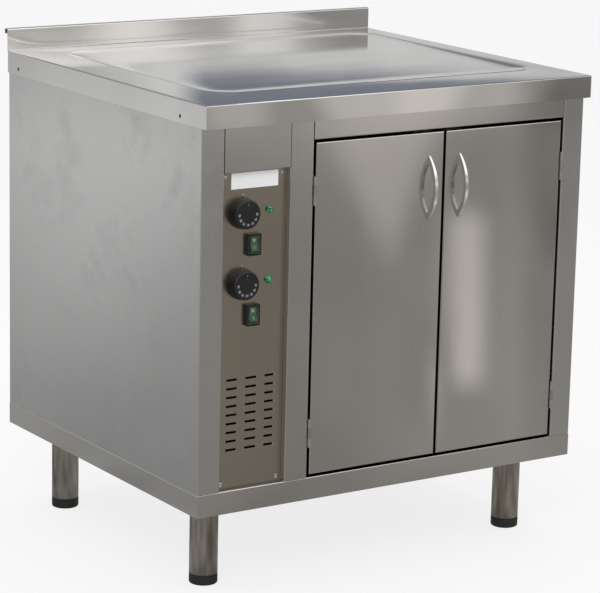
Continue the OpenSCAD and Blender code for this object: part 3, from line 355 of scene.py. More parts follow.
dress(steel_inner, "cabinet_liner", "ceiling_liner", "top_heater_tray", "divider_panel",
      "worktop_channels", "panel_brackets", "heater_brackets", "heater_guard", "shelf",
      "shelf_rails", "left_door_liner", "right_door_liner", "left_door_strike",
      "right_door_strike")

# %% [markdown]
# ## Bright fittings
# Handles are cast and polished under a satin chrome, and pins, shafts and screws are turned. One
# function with a faint waviness serves them all, from the bright chrome to the dull heater tubes.
# The tubes that run to the heat sensors are drawn copper.

# %% Bright metal
def bright(name, level, rough, scale=40.0):
    """Polished or turned metal with faint waviness."""
    graph = new_finish(name)
    wave = graph.noise(scale)
    return graph.finish(base=graph.mix(wave, grey(level * 0.94), grey(level * 1.04)), metallic=1.0,
                        roughness=rough + (wave - 0.5) * 0.08,
                        normal=graph.bump(wave, 0.05, 0.0005))


turned = bright("turned_steel", 0.62, 0.28, scale=120.0)
dress(bright("satin_chrome", 0.78, 0.14), "left_door_handle", "right_door_handle")
dress(turned, "control_panel_screws", "left_door_handle_screws", "right_door_handle_screws",
      "upper_shaft", "lower_shaft", "thermostats")
dress(bright("hinge_steel", 0.46, 0.36, scale=420.0), "left_door_hinge_leaves",
      "right_door_hinge_leaves", "hinge_pins")
dress(bright("sunk_screw", 0.10, 0.45, scale=300.0), "worktop_side_screws")
dress(bright("heater_metal", 0.26, 0.5, scale=200.0), "top_heater", "cabinet_heater")

# %% Copper
copper_graph = new_finish("capillary_copper")
copper_wave = copper_graph.noise(150.0)
copper = copper_graph.finish(
    base=copper_graph.mix(copper_wave, (0.62, 0.33, 0.2, 1), (0.76, 0.45, 0.3, 1)),
    metallic=1.0, roughness=0.3 + copper_wave * 0.15)
dress(copper, "thermostat_capillaries")

# %% [markdown]
# ## Plastics
# The knobs, feet and switch frames are moulded in black, with a fine spark-eroded grain. The
# rockers are green, and the plate over the controls is a glossy white. A grain this fine would
# cost millions of faces as shape, so it is a bump from a fine noise.

# %% Moulded plastic
def plastic(name, dark, light, rough, grain=900.0, coat=0.0):
    """Moulded plastic with a fine grain."""
    graph = new_finish(name)
    fine = graph.noise(grain, 2.0)
    slow = graph.noise(30.0, move=2.5)
    return graph.finish(base=graph.mix(slow, dark, light), roughness=rough + (slow - 0.5) * 0.12,
                        normal=graph.bump(fine, 0.12, 0.0002), coat=coat)


black = plastic("black_plastic", (0.004, 0.004, 0.005, 1), (0.010, 0.010, 0.011, 1), 0.40)
foot_black = plastic("foot_plastic", (0.012, 0.012, 0.012, 1), (0.022, 0.021, 0.02, 1), 0.5)
green = plastic("green_plastic", (0.002, 0.050, 0.010, 1), (0.006, 0.10, 0.022, 1), 0.34)
white = plastic("plate_white", (0.80, 0.80, 0.80, 1), (0.86, 0.86, 0.86, 1), 0.22, coat=0.3)
ivory = plastic("ivory_plastic", (0.62, 0.58, 0.46, 1), (0.70, 0.66, 0.54, 1), 0.4)
wool = plastic("mineral_wool", (0.34, 0.29, 0.13, 1), (0.50, 0.44, 0.22, 1), 0.9, grain=300.0)
# Painted shade: the door catches take the black plastic so that the gap between the doors stays dark.
dress(black, "upper_knob", "lower_knob", "switch_bodies", "cable_gland", "door_catches")
dress(foot_black, "leg_plugs", "front_left_foot", "front_right_foot", "rear_left_foot",
      "rear_right_foot")
dress(green, "upper_rocker", "lower_rocker")
dress(white, "blank_plate")
dress(ivory, "terminal_block")
dress(wool, "insulation")

# %% [markdown]
# ## Clear caps
# A clear cap, a thin shell, keeps splashes out of each switch. With the refraction of glass its
# walls would mirror and bend much of what lies under them. A lower value keeps the green of the
# rocker in view.

# %% Clear caps
cap_graph = new_finish("clear_cap")
cap_haze = cap_graph.noise(60.0)
clear = cap_graph.finish(
    base=cap_graph.mix(cap_haze, (0.90, 0.96, 0.92, 1), (0.97, 1.0, 0.98, 1)),
    roughness=0.02 + cap_haze * 0.03, transmission=1.0, ior=1.3)
dress(clear, "switch_caps")

# %% [markdown]
# ## Inks, fillers and painted joint shade
# The dial numbers are printed and the marks on the rockers are filled in white. A dark tone
# paints the shade in the joints of the front. Fresh ink has one flat tone, and use wears it, so
# each has a light and a dark tone, mixed by a fine noise.

# %% Inks, fillers and painted joint shade
def ink(name, dark, light, scale, rough):
    """A matt colour for inks, fillers and painted shade, whose tone changes a little from place to
    place.
    """
    graph = new_finish(name)
    return graph.finish(base=graph.mix(graph.noise(scale), dark, light), roughness=rough)


dial_print = ink("dial_print", (0.30, 0.33, 0.38, 1), (0.50, 0.53, 0.58, 1), 700.0, 0.45)
faint_print = ink("faint_print", (0.12, 0.12, 0.13, 1), (0.26, 0.27, 0.29, 1), 900.0, 0.5)
white_mark = ink("white_mark", (0.80, 0.90, 0.84, 1), (0.92, 0.97, 0.94, 1), 800.0, 0.3)
# Painted shade: a dark tone for the strips laid over the joints of the front.
joint_shade_black = ink("painted_joint_shade", (0.016, 0.014, 0.012, 1), (0.045, 0.038, 0.034, 1), 260.0, 0.6)
print("marks:", [made.name for made in (dial_print, faint_print, white_mark, joint_shade_black)])

# %% [markdown]
# ## Helpers for new pieces
# Each new piece starts as a primitive or as a free copy of a measured part, is shaped in edit
# mode, and ends with its place in its mesh. An edit operator acts on all that is selected, so the
# faces are picked in code, by their place and by the way that they look.

# %% Picking
def only(piece):
    """Makes one object the selected and active one."""
    bpy.ops.object.select_all(action="DESELECT")
    piece.select_set(True)
    bpy.context.view_layer.objects.active = piece


def edit(piece):
    """Opens a piece in edit mode with nothing picked."""
    only(piece)
    bpy.ops.object.mode_set(mode="EDIT")
    bpy.ops.mesh.select_mode(type="FACE")
    bpy.ops.mesh.select_all(action="DESELECT")


def pick_faces(piece, wanted):
    """Picks the faces whose centre and normal pass the test, and returns how many."""
    bpy.ops.object.mode_set(mode="OBJECT")
    count = 0
    for face in piece.data.polygons:
        face.select = wanted(face.center, face.normal)
        count += face.select
    bpy.ops.object.mode_set(mode="EDIT")
    return count


# %% Starting a piece
def put(piece, place):
    """Moves a piece by a matrix and writes its place into its mesh."""
    only(piece)
    piece.matrix_world = place
    bpy.ops.object.transform_apply(location=True, rotation=True, scale=True)


def start(add, place, **settings):
    """Adds a primitive by its operator and puts it in its place."""
    bpy.ops.object.select_all(action="DESELECT")
    add(**settings)
    piece = bpy.context.object
    put(piece, place)
    return piece


def free_copy(node, name):
    """A copy of a measured node, its loose triangles joined into one skin."""
    piece = nodes[node].copy()
    piece.data = nodes[node].data.copy()
    piece.name = name
    piece.data.name = name
    piece.parent = None
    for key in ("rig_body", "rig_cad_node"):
        if key in piece:
            del piece[key]
    bpy.context.scene.collection.objects.link(piece)
    edit(piece)
    bpy.ops.mesh.select_all(action="SELECT")
    bpy.ops.mesh.remove_doubles(threshold=0.00001)
    bpy.ops.mesh.normals_make_consistent(inside=False)
    bpy.ops.object.mode_set(mode="OBJECT")
    return piece


# %% Finishing a piece
def modify(piece, kind, **settings):
    """Adds one modifier and applies it."""
    only(piece)
    bpy.ops.object.modifier_add(type=kind)
    added = piece.modifiers[-1]
    for key, value in settings.items():
        setattr(added, key, value)
    bpy.ops.object.modifier_apply(modifier=added.name)


def merge(pieces, name):
    """Joins several objects into one."""
    only(pieces[0])
    for piece in pieces[1:]:
        piece.select_set(True)
    bpy.ops.object.join()
    pieces[0].name = name
    pieces[0].data.name = name
    return pieces[0]


def settle(piece, body, smooth=30.0):
    """Puts the place of a piece into its mesh, smooths it, and names its body."""
    only(piece)
    bpy.ops.object.transform_apply(location=True, rotation=True, scale=True)
    bpy.ops.object.shade_smooth_by_angle(angle=math.radians(smooth))
    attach(piece, body)
    print(piece.name, len(piece.data.polygons), "faces, on", body)


# %% [markdown]
# ## The worktop
# The real top is one sheet. A groove rolled into it marks the heated field, and the sheet inside
# the groove has sunk by a millimetre or so, which is what bends the reflections near its border.
# A bump could bend them too, but only in the material, and the mesh would stay flat. So the copy
# keeps the measured sheet, its flat field becomes one face, and a few insets, each a little lower
# than the last, give it the shallow dish.

# %% The border of the field
FIELD_FROM_LEFT = 0.0781
FIELD_FROM_FRONT = 0.0831
FIELD_WIDTH = 0.6788
FIELD_DEPTH = 0.5558
FIELD_ROUND = 0.050
FRONT_OF_UPSTAND = 0.2
SAME_HEIGHT = 0.0001
field_left = worktop_low[0] + FIELD_FROM_LEFT
field_front = door_front + FIELD_FROM_FRONT


def beyond(value, low, length):
    """How far a value lies outside a length whose two ends are drawn in by the corner radius."""
    return max(low + FIELD_ROUND - value, value - (low + length - FIELD_ROUND), 0.0)


def in_field(place):
    """True inside the rounded border of the heated field."""
    return math.hypot(beyond(place.x, field_left, FIELD_WIDTH),
                      beyond(place.y, field_front, FIELD_DEPTH)) < FIELD_ROUND


# %% Dished worktop
# The width and the drop of each inset, from the border inwards.
DISH = ((0.003, 0.00020), (0.005, 0.00035), (0.008, 0.00035), (0.010, 0.00025),
        (0.011, 0.00012), (0.010, 0.00004))
sheet_top = max(vertex.co.z for vertex in nodes["worktop"].data.vertices
                if vertex.co.y < FRONT_OF_UPSTAND)
worktop_sheet = free_copy("worktop", "worktop_sheet")
edit(worktop_sheet)
found = pick_faces(worktop_sheet, lambda center, normal: (
    normal.z > 0.99 and abs(center.z - sheet_top) < SAME_HEIGHT and in_field(center)))
bpy.ops.mesh.dissolve_faces()
for width, drop in DISH:
    bpy.ops.mesh.inset(thickness=width, depth=-drop, use_boundary=True, use_even_offset=True)
bpy.ops.object.mode_set(mode="OBJECT")
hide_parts("worktop")
settle(worktop_sheet, "cabinet", 35.0)
modify(worktop_sheet, "WEIGHTED_NORMAL", keep_sharp=True)
print("field faces joined:", found, "sheet top at", round(sheet_top, 4))

# %% [markdown]
# ## Numbers on the dials
# Each knob carries seven numbers round its lower half, for 30 to 90 degrees, and a short line and
# a dot at its top for off. They are printed on the real knob. A picture of them would need its
# own file and would blur close up. Here they are text, turned into a thin raised mesh, so they
# keep crisp edges in any view and turn with the knob.

# %% Raised text
MARK_LIFT = 0.00012
CAPITAL_SHARE = 0.7
FACING_FRONT = Matrix.Rotation(math.radians(90.0), 4, "X")


def words(text, height, center, turn, material, width=1.0):
    """Flat text in the plane y = center.y that faces the front, as a thin raised mesh."""
    bpy.ops.object.select_all(action="DESELECT")
    bpy.ops.object.text_add(location=(0.0, 0.0, 0.0))
    mark = bpy.context.object
    mark.data.body = text
    mark.data.size = height / CAPITAL_SHARE
    mark.data.extrude = MARK_LIFT
    mark.data.resolution_u = 4
    mark.data.align_x = "CENTER"
    mark.data.align_y = "CENTER"
    mark.data.materials.append(material)
    bpy.ops.object.convert(target="MESH")
    mark = bpy.context.object
    put(mark, Matrix.Translation(center) @ Matrix.Rotation(turn, 4, "Y") @ FACING_FRONT
        @ Matrix.Diagonal((width, 1.0, 1.0, 1.0)))
    return mark


# %% Dial marks
DIAL_NUMBERS = (30, 40, 50, 60, 70, 80, 90)
NUMBER_STEP = 30.0
NUMBER_HEIGHT = 0.0042
NUMBER_WIDTH = 0.85
NUMBER_RING = 0.0168
LINE_WIDTH = 1.2
LINE_RING = 0.0172
DOT_RING = 0.0110
DOT_HEIGHT = 0.0022
for level in LEVELS:
    low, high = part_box(level + "_knob")
    middle = Vector(((low[0] + high[0]) / 2, low[1], (low[2] + high[2]) / 2))
    marks = []
    for step, number in enumerate(DIAL_NUMBERS):
        angle = math.radians(NUMBER_STEP * step)
        place = middle + Vector((math.cos(angle), 0.0, -math.sin(angle))) * NUMBER_RING
        marks.append(words(str(number), NUMBER_HEIGHT, place, math.radians(90.0) + angle,
                           dial_print, NUMBER_WIDTH))
    marks.append(words("I", NUMBER_HEIGHT, middle + Vector((0.0, 0.0, LINE_RING)), 0.0,
                       faint_print, LINE_WIDTH))
    marks.append(words("o", DOT_HEIGHT, middle + Vector((0.0, 0.0, DOT_RING)), 0.0, faint_print))
    settle(merge(marks, level + "_dial_marks"), level + "_control_knob")

# %% [markdown]
# ## Index marks
# A small nib on the panel above each knob points at the number in use. It is a prism with three
# sides, its point down, and a bevel takes the sharpness off its edges.

# %% Index nibs
NIB_RADIUS = 0.0030
NIB_THICK = 0.0012
NIB_ABOVE_KNOB = 0.0028
for level in LEVELS:
    low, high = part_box(level + "_knob")
    nib = start(bpy.ops.mesh.primitive_cylinder_add,
                Matrix.Translation(((low[0] + high[0]) / 2, panel_front - NIB_THICK / 2,
                                    high[2] + NIB_ABOVE_KNOB))
                @ FACING_FRONT @ Matrix.Rotation(math.radians(180.0), 4, "Z"),
                vertices=3, radius=NIB_RADIUS, depth=NIB_THICK)
    nib.name = level + "_index_nib"
    nib.data.name = nib.name
    nib.data.materials.append(turned)
    modify(nib, "BEVEL", width=0.0003, segments=2)
    settle(nib, "cabinet")

# %% [markdown]
# ## Rocker marks
# A ring at the top and a bar at the bottom of each rocker are moulded in white. The rocker leans
# at rest, so its two half faces are found by their place, and each mark is turned to lie on its
# own half.

# %% Marks on the rockers
ROCKER_MARK_HEIGHT = 0.0046
ROCKER_MARK_RISE = 0.0062
for level in LEVELS:
    low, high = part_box(level + "_rocker")
    middle_z = (low[2] + high[2]) / 2
    marks = []
    for text, upper_half in (("O", True), ("I", False)):
        half_face = max((face for face in nodes[level + "_rocker"].data.polygons
                         if face.normal.y < -0.8 and (face.center.z > middle_z) == upper_half),
                        key=lambda face: face.area)
        slope = math.atan2(half_face.normal.z, -half_face.normal.y)
        place = Vector(((low[0] + high[0]) / 2, 0.0, middle_z))
        place.z += ROCKER_MARK_RISE if upper_half else -ROCKER_MARK_RISE
        place.y = half_face.center.y + (place.z - half_face.center.z) * math.tan(slope)
        mark = words(text, ROCKER_MARK_HEIGHT, Vector((0.0, 0.0, 0.0)), 0.0, white_mark)
        put(mark, Matrix.Translation(place) @ Matrix.Rotation(-slope, 4, "X"))
        marks.append(mark)
    settle(merge(marks, level + "_rocker_marks"), level + "_switch_rocker")

# %% [markdown]
# ## Pilot lamps
# Their lenses are cut in facets that break up the light. An icosphere is such a solid already.
# Its lower half is cut away, the rest is flattened to the height of the measured lens, and a thin
# bevelled rim and the body behind the panel are added.

# %% Cut green lens with painted glints
LENS_GRAIN = 420.0
lens_graph = new_finish("cut_lens")
glint_jitter = lens_graph.noise(LENS_GRAIN, 2.0)
glint_cells = lens_graph.node("ShaderNodeTexVoronoi", {}, {
    "Vector": lens_graph.place(), "Scale": LENS_GRAIN})
# Painted glints: the base colour runs from near black to bright green over small cells, for the light
# that the cut facets break up.
painted_glint_tone = Value(lens_graph, glint_cells.outputs["Distance"]) * 1.4 + (glint_jitter - 0.5) * 0.5
cut_lens = lens_graph.finish(
    base=lens_graph.ramp(painted_glint_tone, (
        (0.0, (0.002, 0.075, 0.022, 1)), (0.40, (0.001, 0.022, 0.008, 1)),
        (0.72, (0.006, 0.12, 0.04, 1)), (1.0, (0.06, 0.50, 0.20, 1)))),
    roughness=0.08, coat=0.5, coat_roughness=0.03)
print("made", cut_lens.name)

# %% Faceted lamps
RIM_THICK = 0.0017
LENS_IN_RIM = 0.0001
LAMP_BODY_RADIUS = 0.0048
LAMP_BODY_LENGTH = 0.027
LAMP_BODY_GAP = 0.0002
lamp_low, lamp_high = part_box("pilot_lamps")
lens_radius = (lamp_high[0] - lamp_low[0]) / 2
lens_flat = (panel_front - lamp_low[1] - RIM_THICK) / lens_radius


def out_of_panel(center, distance):
    """Turned to look out of the panel, a distance in front of it."""
    return Matrix.Translation(center - Vector((0.0, distance, 0.0))) @ FACING_FRONT


def lamp(center):
    """The lens, the rim and the body of one lamp."""
    lens = start(bpy.ops.mesh.primitive_ico_sphere_add, Matrix(), subdivisions=2,
                 radius=lens_radius * 0.99)
    edit(lens)
    bpy.ops.mesh.select_all(action="SELECT")
    bpy.ops.mesh.bisect(plane_co=(0.0, 0.0, 0.0), plane_no=(0.0, 0.0, 1.0), use_fill=True,
                        clear_inner=True)
    bpy.ops.object.mode_set(mode="OBJECT")
    put(lens, out_of_panel(center, RIM_THICK - LENS_IN_RIM)
        @ Matrix.Diagonal((1.0, 1.0, lens_flat, 1.0)))
    lens.data.materials.append(cut_lens)
    rim = start(bpy.ops.mesh.primitive_cylinder_add, out_of_panel(center, RIM_THICK / 2),
                vertices=48, radius=lens_radius, depth=RIM_THICK)
    modify(rim, "BEVEL", width=0.0004, segments=2)
    rim.data.materials.append(cut_lens)
    body = start(bpy.ops.mesh.primitive_cylinder_add,
                 out_of_panel(center, -LAMP_BODY_GAP - LAMP_BODY_LENGTH / 2),
                 vertices=32, radius=LAMP_BODY_RADIUS, depth=LAMP_BODY_LENGTH)
    modify(body, "BEVEL", width=0.0006, segments=2)
    body.data.materials.append(black)
    return [lens, rim, body]


lamp_parts = []
for height in (lamp_low[2] + lens_radius, lamp_high[2] - lens_radius):
    lamp_parts += lamp(Vector((lamp_low[0] + lens_radius, panel_front, height)))
lamp_set = merge(lamp_parts, "faceted_lamps")
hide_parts("pilot_lamps")
settle(lamp_set, "cabinet", 12.0)

# %% [markdown]
# ## Screws with a cross
# The four dome screws of the control panel take a cross driver. A cross could be painted on, but
# would look flat from the side, so two thin bars are cut out of a copy of each measured head. The
# sunk screws in the ends of the worktop keep their measured shape.

# %% Finding the heads
def shell_boxes(piece):
    """The two far corners of the box round every separate shell of a mesh."""
    neighbours = {vertex.index: [] for vertex in piece.data.vertices}
    for edge in piece.data.edges:
        first, second = edge.vertices
        neighbours[first].append(second)
        neighbours[second].append(first)
    left = set(neighbours)
    boxes = []
    while left:
        stack = [left.pop()]
        members = []
        while stack:
            index = stack.pop()
            members.append(piece.data.vertices[index].co)
            for other in neighbours[index]:
                if other in left:
                    left.remove(other)
                    stack.append(other)
        boxes.append((Vector([min(point[axis] for point in members) for axis in range(3)]),
                      Vector([max(point[axis] for point in members) for axis in range(3)])))
    return boxes


panel_heads = free_copy("control_panel_screws", "panel_cross_screws")
head_fronts = [Vector(((low.x + high.x) / 2, low.y, (low.z + high.z) / 2))
               for low, high in shell_boxes(panel_heads)]
print("panel screws:", len(head_fronts))

# %% Cutting the crosses
CROSS_LENGTH = 0.0046
CROSS_WIDTH = CROSS_LENGTH * 0.22
CROSS_DEEP = 0.0010
CROSS_TURN = 20.0
OUTWARD = Vector((0.0, -1.0, 0.0)).to_track_quat("Z", "Y").to_matrix().to_4x4()
cross_bars = []
for front in head_fronts:
    for turn in (CROSS_TURN, CROSS_TURN + 90.0):
        cross_bars.append(start(
            bpy.ops.mesh.primitive_cube_add,
            Matrix.Translation(front) @ OUTWARD @ Matrix.Rotation(math.radians(turn), 4, "Z")
            @ Matrix.Diagonal((CROSS_LENGTH, CROSS_WIDTH, CROSS_DEEP * 2.0, 1.0)), size=1.0))
cutter = merge(cross_bars, "cross_bars")
modify(panel_heads, "BOOLEAN", object=cutter, operation="DIFFERENCE", solver="EXACT",
       use_self=True)
bpy.data.objects.remove(cutter, do_unlink=True)
panel_heads.data.materials.clear()
panel_heads.data.materials.append(turned)
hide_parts("control_panel_screws")
settle(panel_heads, "cabinet", 35.0)

# %% [markdown]
# ## Painted joint shadows
# Where the posts, the header, the rail and the worktop meet, the narrow gaps and the overhang of
# the worktop cast fine shadows. They are painted in: each is a thin dark bar with rounded edges,
# laid over a joint and a third of a millimetre proud. One bar is made for each joint, and all are
# joined into one piece.

# %% Painted shadow strips
SHADOW_STRIP_WIDTH = 0.0009
SHADOW_STRIP_PROUD = 0.0003
header_low, header_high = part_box("control_header")
rail_low, rail_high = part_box("door_rail")
post_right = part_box("middle_post")[1][0]
cabinet_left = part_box("left_side_panel")[0][0]
cabinet_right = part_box("right_side_panel")[1][0]
fascia_bottom = worktop_low[2]
# The x and the lower end of each joint that runs up to the worktop.
UPRIGHT_JOINTS = ((header_low[0], header_low[2]), (header_high[0], header_low[2]),
                  (post_right, rail_low[2]), (rail_high[0], rail_low[2]))


def bead(center_x, center_z, width, height):
    """One thin dark bar with rounded edges that paints the shade in a joint, half of it inside the
    front of the cabinet.
    """
    bar = start(bpy.ops.mesh.primitive_cube_add,
                Matrix.Translation((center_x, door_front, center_z))
                @ Matrix.Diagonal((width, SHADOW_STRIP_PROUD * 2, height, 1.0)), size=1.0)
    modify(bar, "BEVEL", width=0.0002, segments=2)
    bar.data.materials.append(joint_shade_black)
    return bar


# Painted shade: dark strips over the upright joints, and a long one under the front of the worktop.
shadow_strips = [bead(joint, (bottom + fascia_bottom) / 2, SHADOW_STRIP_WIDTH, fascia_bottom - bottom)
         for joint, bottom in UPRIGHT_JOINTS]
shadow_strips.append(bead((cabinet_left + cabinet_right) / 2, fascia_bottom - SHADOW_STRIP_WIDTH / 2,
                  cabinet_right - cabinet_left, SHADOW_STRIP_WIDTH))
settle(merge(shadow_strips, "joint_shadow_strips"), "cabinet")

# %% [markdown]
# ## Floor and background
# The cabinet stands on a plain pale floor in front of white. A floor lit by lamps alone comes out
# grey next to a white world, so both are white to the camera and to mirrors, and a soft grey to
# the light that they send back. The Light Path node tells the two kinds of ray apart.

# %% Telling rays apart
def seen_plainly(graph):
    """1 for a ray from the camera, a mirror or a clear cap, and 0 for scattered light."""
    rays = graph.node("ShaderNodeLightPath")
    return (Value(graph, rays.outputs["Is Camera Ray"]) + Value(graph, rays.outputs["Is Glossy Ray"])
            + Value(graph, rays.outputs["Is Transmission Ray"])).clamp()


# %% Floor
WHITE_SHARE = 0.80
FLOOR_SIZE = 60.0
FLOOR_BELOW_FEET = 0.0005
bpy.ops.object.select_all(action="DESELECT")
bpy.ops.mesh.primitive_plane_add(size=FLOOR_SIZE, location=(0.0, 0.0, -FLOOR_BELOW_FEET))
floor = bpy.context.object
floor.name = "studio_floor"
floor_graph = new_finish("floor_white")
paint = floor_graph.node("ShaderNodeBsdfDiffuse", {}, {
    "Color": floor_graph.mix(floor_graph.noise(2.0), (0.80, 0.80, 0.80, 1), (0.84, 0.84, 0.84, 1))})
shine = floor_graph.node("ShaderNodeEmission", {}, {"Color": (1.0, 1.0, 1.0, 1), "Strength": 1.0})
both = floor_graph.node("ShaderNodeMixShader", {}, {
    0: seen_plainly(floor_graph) * WHITE_SHARE, 1: paint.outputs[0], 2: shine.outputs[0]})
floor.data.materials.append(floor_graph.end(both))
print("floor", FLOOR_SIZE, "m wide")

# %% World
world = bpy.data.worlds.new("studio")
bpy.context.scene.world = world
world_graph = Graph(world)
soft = world_graph.node("ShaderNodeBackground", {}, {"Color": (0.78, 0.78, 0.79, 1)})
plain = world_graph.node("ShaderNodeBackground", {}, {"Color": (1.0, 1.0, 1.0, 1)})
both = world_graph.node("ShaderNodeMixShader", {}, {
    0: seen_plainly(world_graph), 1: soft.outputs[0], 2: plain.outputs[0]})
world_graph.end(both, "ShaderNodeOutputWorld")
print("world", world.name)

# %% [markdown]
# ## The tent
# Stainless steel shows its room more than itself, so a grey tent stands round the cabinet, seen
# only in reflections. It is a cone that widens upwards, with a disc as its ground and a narrowing
# cone as its roof. Its brightness is written with the direction round the cabinet and the height,
# so that each soft strip of light has a place of its own, as windows have in a workshop.

# %% The shape of the tent
GROUND_RADIUS = 0.8
EAVES_RADIUS = 1.5
EAVES_HEIGHT = 1.7
ROOF_RADIUS = 0.25
ROOF_HEIGHT = 0.8
GROUND_LIFT = 0.0003
GROUND_PATTERN_TOP = 0.004
TENT_SIDES = 96
wall = start(bpy.ops.mesh.primitive_cone_add, Matrix.Translation((0.0, 0.0, EAVES_HEIGHT / 2)),
             vertices=TENT_SIDES, radius1=GROUND_RADIUS, radius2=EAVES_RADIUS,
             depth=EAVES_HEIGHT, end_fill_type="NOTHING")
ground = start(bpy.ops.mesh.primitive_circle_add, Matrix.Translation((0.0, 0.0, GROUND_LIFT)),
               vertices=TENT_SIDES, radius=GROUND_RADIUS, fill_type="NGON")
roof = start(bpy.ops.mesh.primitive_cone_add,
             Matrix.Translation((0.0, 0.0, EAVES_HEIGHT + ROOF_HEIGHT / 2)),
             vertices=TENT_SIDES, radius1=EAVES_RADIUS, radius2=ROOF_RADIUS,
             depth=ROOF_HEIGHT, end_fill_type="NOTHING")
tent = merge([wall, ground, roof], "reflection_tent")
bpy.ops.object.shade_smooth()
for ray in ("visible_camera", "visible_diffuse", "visible_shadow", "visible_transmission",
            "visible_volume_scatter"):
    setattr(tent, ray, False)
print(tent.name, len(tent.data.polygons), "faces")

# %% Patches of light on the tent
cloth_graph = new_finish("tent_cloth")
height = cloth_graph.axis("Z")
around = cloth_graph.axis("Y").angle_from(cloth_graph.axis("X"))
degrees = around * (180.0 / math.pi)


def oval(direction, level, half_angle, half_height, sharpness):
    """A soft oval patch of the tent, 1 in its middle and 0 outside."""
    sideways = (degrees - direction) / half_angle
    upward = (height - level) / half_height
    return ((1.0 - sideways * sideways - upward * upward) * sharpness).clamp()


def strip(direction, low, high, half_angle, edge_angle, edge_height=0.03):
    """An upright strip with soft edges, between two heights."""
    sideways = ((half_angle + edge_angle / 2 - (degrees - direction).abs()) / edge_angle).clamp()
    return sideways * ((height - low) / edge_height).clamp() * ((high - height) / edge_height).clamp()


def wedge(direction, level, spread, sharpness):
    """A patch that starts at a point and widens upwards."""
    reach = (height - level) * spread
    return ((reach - (around - math.radians(direction)).abs()) * sharpness).clamp()


# %% Brightness of the cloth
# Each patch, and how much brighter or darker it makes the cloth, by the part that mirrors it.
PATCHES = (
    # The lower parts of both doors.
    (oval(-80.0, 0.20, 60.0, 0.50, 1.6), -0.07),
    # The left door: a wide light at its top, and the darker and lighter strips below it.
    (wedge(-67.5, 0.36, 0.42, 22.0), 0.25),
    (strip(-64.0, 0.05, 0.36, 2.6, 3.0, 0.10), -0.05),
    (strip(-62.2, 0.07, 0.27, 0.35, 0.5, 0.08), 0.45),
    # The right door: a bright strip, a faint one beside it, and a dark top corner.
    (strip(-57.8, 0.155, 0.52, 1.8, 1.8, 0.05), 0.42),
    (strip(-52.5, 0.05, 0.60, 0.8, 2.4, 0.20), 0.10),
    (oval(-48.0, 0.62, 4.5, 0.24, 1.5), -0.14),
    # Two light zones on the front of the worktop, and a faint one on the left post.
    (strip(-84.5, 0.64, 0.82, 3.6, 3.0), 0.20),
    (strip(-60.0, 0.66, 0.82, 6.5, 3.0), 0.20),
    (strip(-90.5, 0.06, 0.60, 1.3, 2.2, 0.15), 0.10),
    # The side panel.
    (strip(146.0, 0.12, 1.10, 22.0, 18.0, 0.45), 0.36),
    # The rear half of the worktop, and its left margin.
    (strip(70.0, 0.86, 1.30, 62.0, 20.0, 0.06), 0.26),
    (strip(84.0, 0.86, 1.30, 9.0, 8.0, 0.06), -0.15),
    # The right end of the front of the worktop.
    (strip(-45.0, 0.66, 0.82, 7.0, 5.0), -0.08),
    # The upstand, by way of the worktop: a pale ground and two light zones.
    (strip(-50.0, 0.90, 1.12, 14.0, 4.0, 0.05), 0.20),
    (strip(-58.0, 0.90, 1.12, 3.5, 4.0, 0.05), 0.38),
    (strip(-42.5, 0.90, 1.12, 3.5, 3.0, 0.05), 0.55),
    # High in front, for the handles and the upper edges.
    (strip(-70.0, 1.05, 2.60, 60.0, 20.0, 0.10), 0.75),
    (strip(-74.0, 1.12, 2.00, 9.0, 7.0, 0.10), 0.75),
    # A darker band on the side panel.
    (strip(157.0, 0.02, 1.10, 9.5, 1.6, 0.30), -0.09),
)
folds = cloth_graph.noise(1.6, stretch=(1.6, 1.6, 0.18), move=3.3)
ripple = cloth_graph.noise(5.0, 2.0, move=7.7) - 0.5
cloth = 0.38 + (folds - 0.5) * 0.42
for patch, strength in PATCHES:
    cloth = cloth + patch * strength
on_ground = height < GROUND_PATTERN_TOP
ground_tone = 0.33 + ripple * 0.9
cloth = (cloth * (1.0 - on_ground) + on_ground * ground_tone).at_least(0.02)
print(len(PATCHES), "patches on the tent")

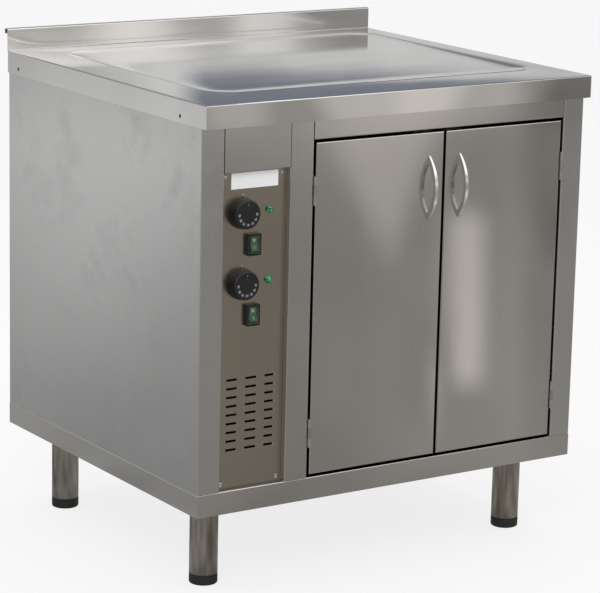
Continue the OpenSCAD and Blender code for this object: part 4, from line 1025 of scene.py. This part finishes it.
# %% Colour of the cloth
# In front the cloth is warmer. Behind, above an uneven edge, a cold dark wall is mirrored in the
# front third of the worktop.
WARM = (1.0, 0.952, 0.895, 1)
PLAIN = (1.0, 0.995, 0.985, 1)
WALL_DARK = (0.19, 0.205, 0.25, 1)
WALL_EDGE = 1.050
WALL_EDGE_SOFT = 0.006
WALL_EDGE_UNEVEN = 0.035
WALL_LEFT = 69.0
WALL_RIGHT = 20.0
WALL_RISES_FROM = 56.0
WALL_RISE = 0.010
wall_height = (height + ripple * WALL_EDGE_UNEVEN
               + ((WALL_RISES_FROM - degrees) / 10.0).clamp() * WALL_RISE)
wall_share = (((wall_height - WALL_EDGE) / WALL_EDGE_SOFT).clamp()
              * ((WALL_LEFT - degrees) / 3.0).clamp() * ((degrees - WALL_RIGHT) / 8.0).clamp())
tint = cloth_graph.mix(oval(-80.0, 0.30, 80.0, 0.90, 2.0), PLAIN, WARM)
lit = cloth_graph.node("ShaderNodeVectorMath", {"operation": "SCALE"}, {0: tint, "Scale": cloth})
hue = cloth_graph.mix(wall_share, lit.outputs[0], WALL_DARK)
glow = cloth_graph.node("ShaderNodeEmission", {}, {"Color": hue, "Strength": 1.0})
tent.data.materials.append(cloth_graph.end(glow))
print("tent wears", tent.data.materials[0].name)

# %% [markdown]
# ## Lamps
# Two large square lamps give the soft shadows under the cabinet and inside the panel's recess. A
# large lamp close by has soft shadows, and a small one far away has hard ones.

# %% Soft lamps
def soft_lamp(name, place, aim, size, watts):
    """A large square lamp that looks at a point."""
    data = bpy.data.lights.new(name, "AREA")
    data.size = size
    data.energy = watts
    made = bpy.data.objects.new(name, data)
    bpy.context.scene.collection.objects.link(made)
    made.location = place
    made.rotation_euler = (Vector(aim) - Vector(place)).to_track_quat("-Z", "Y").to_euler()
    print(name, "lamp of", watts, "W")


soft_lamp("key", (-2.4, -2.6, 2.9), (0.0, 0.0, 0.5), 1.6, 46.0)
soft_lamp("top", (0.3, 0.4, 3.4), (0.0, 0.0, 0.8), 2.0, 26.0)
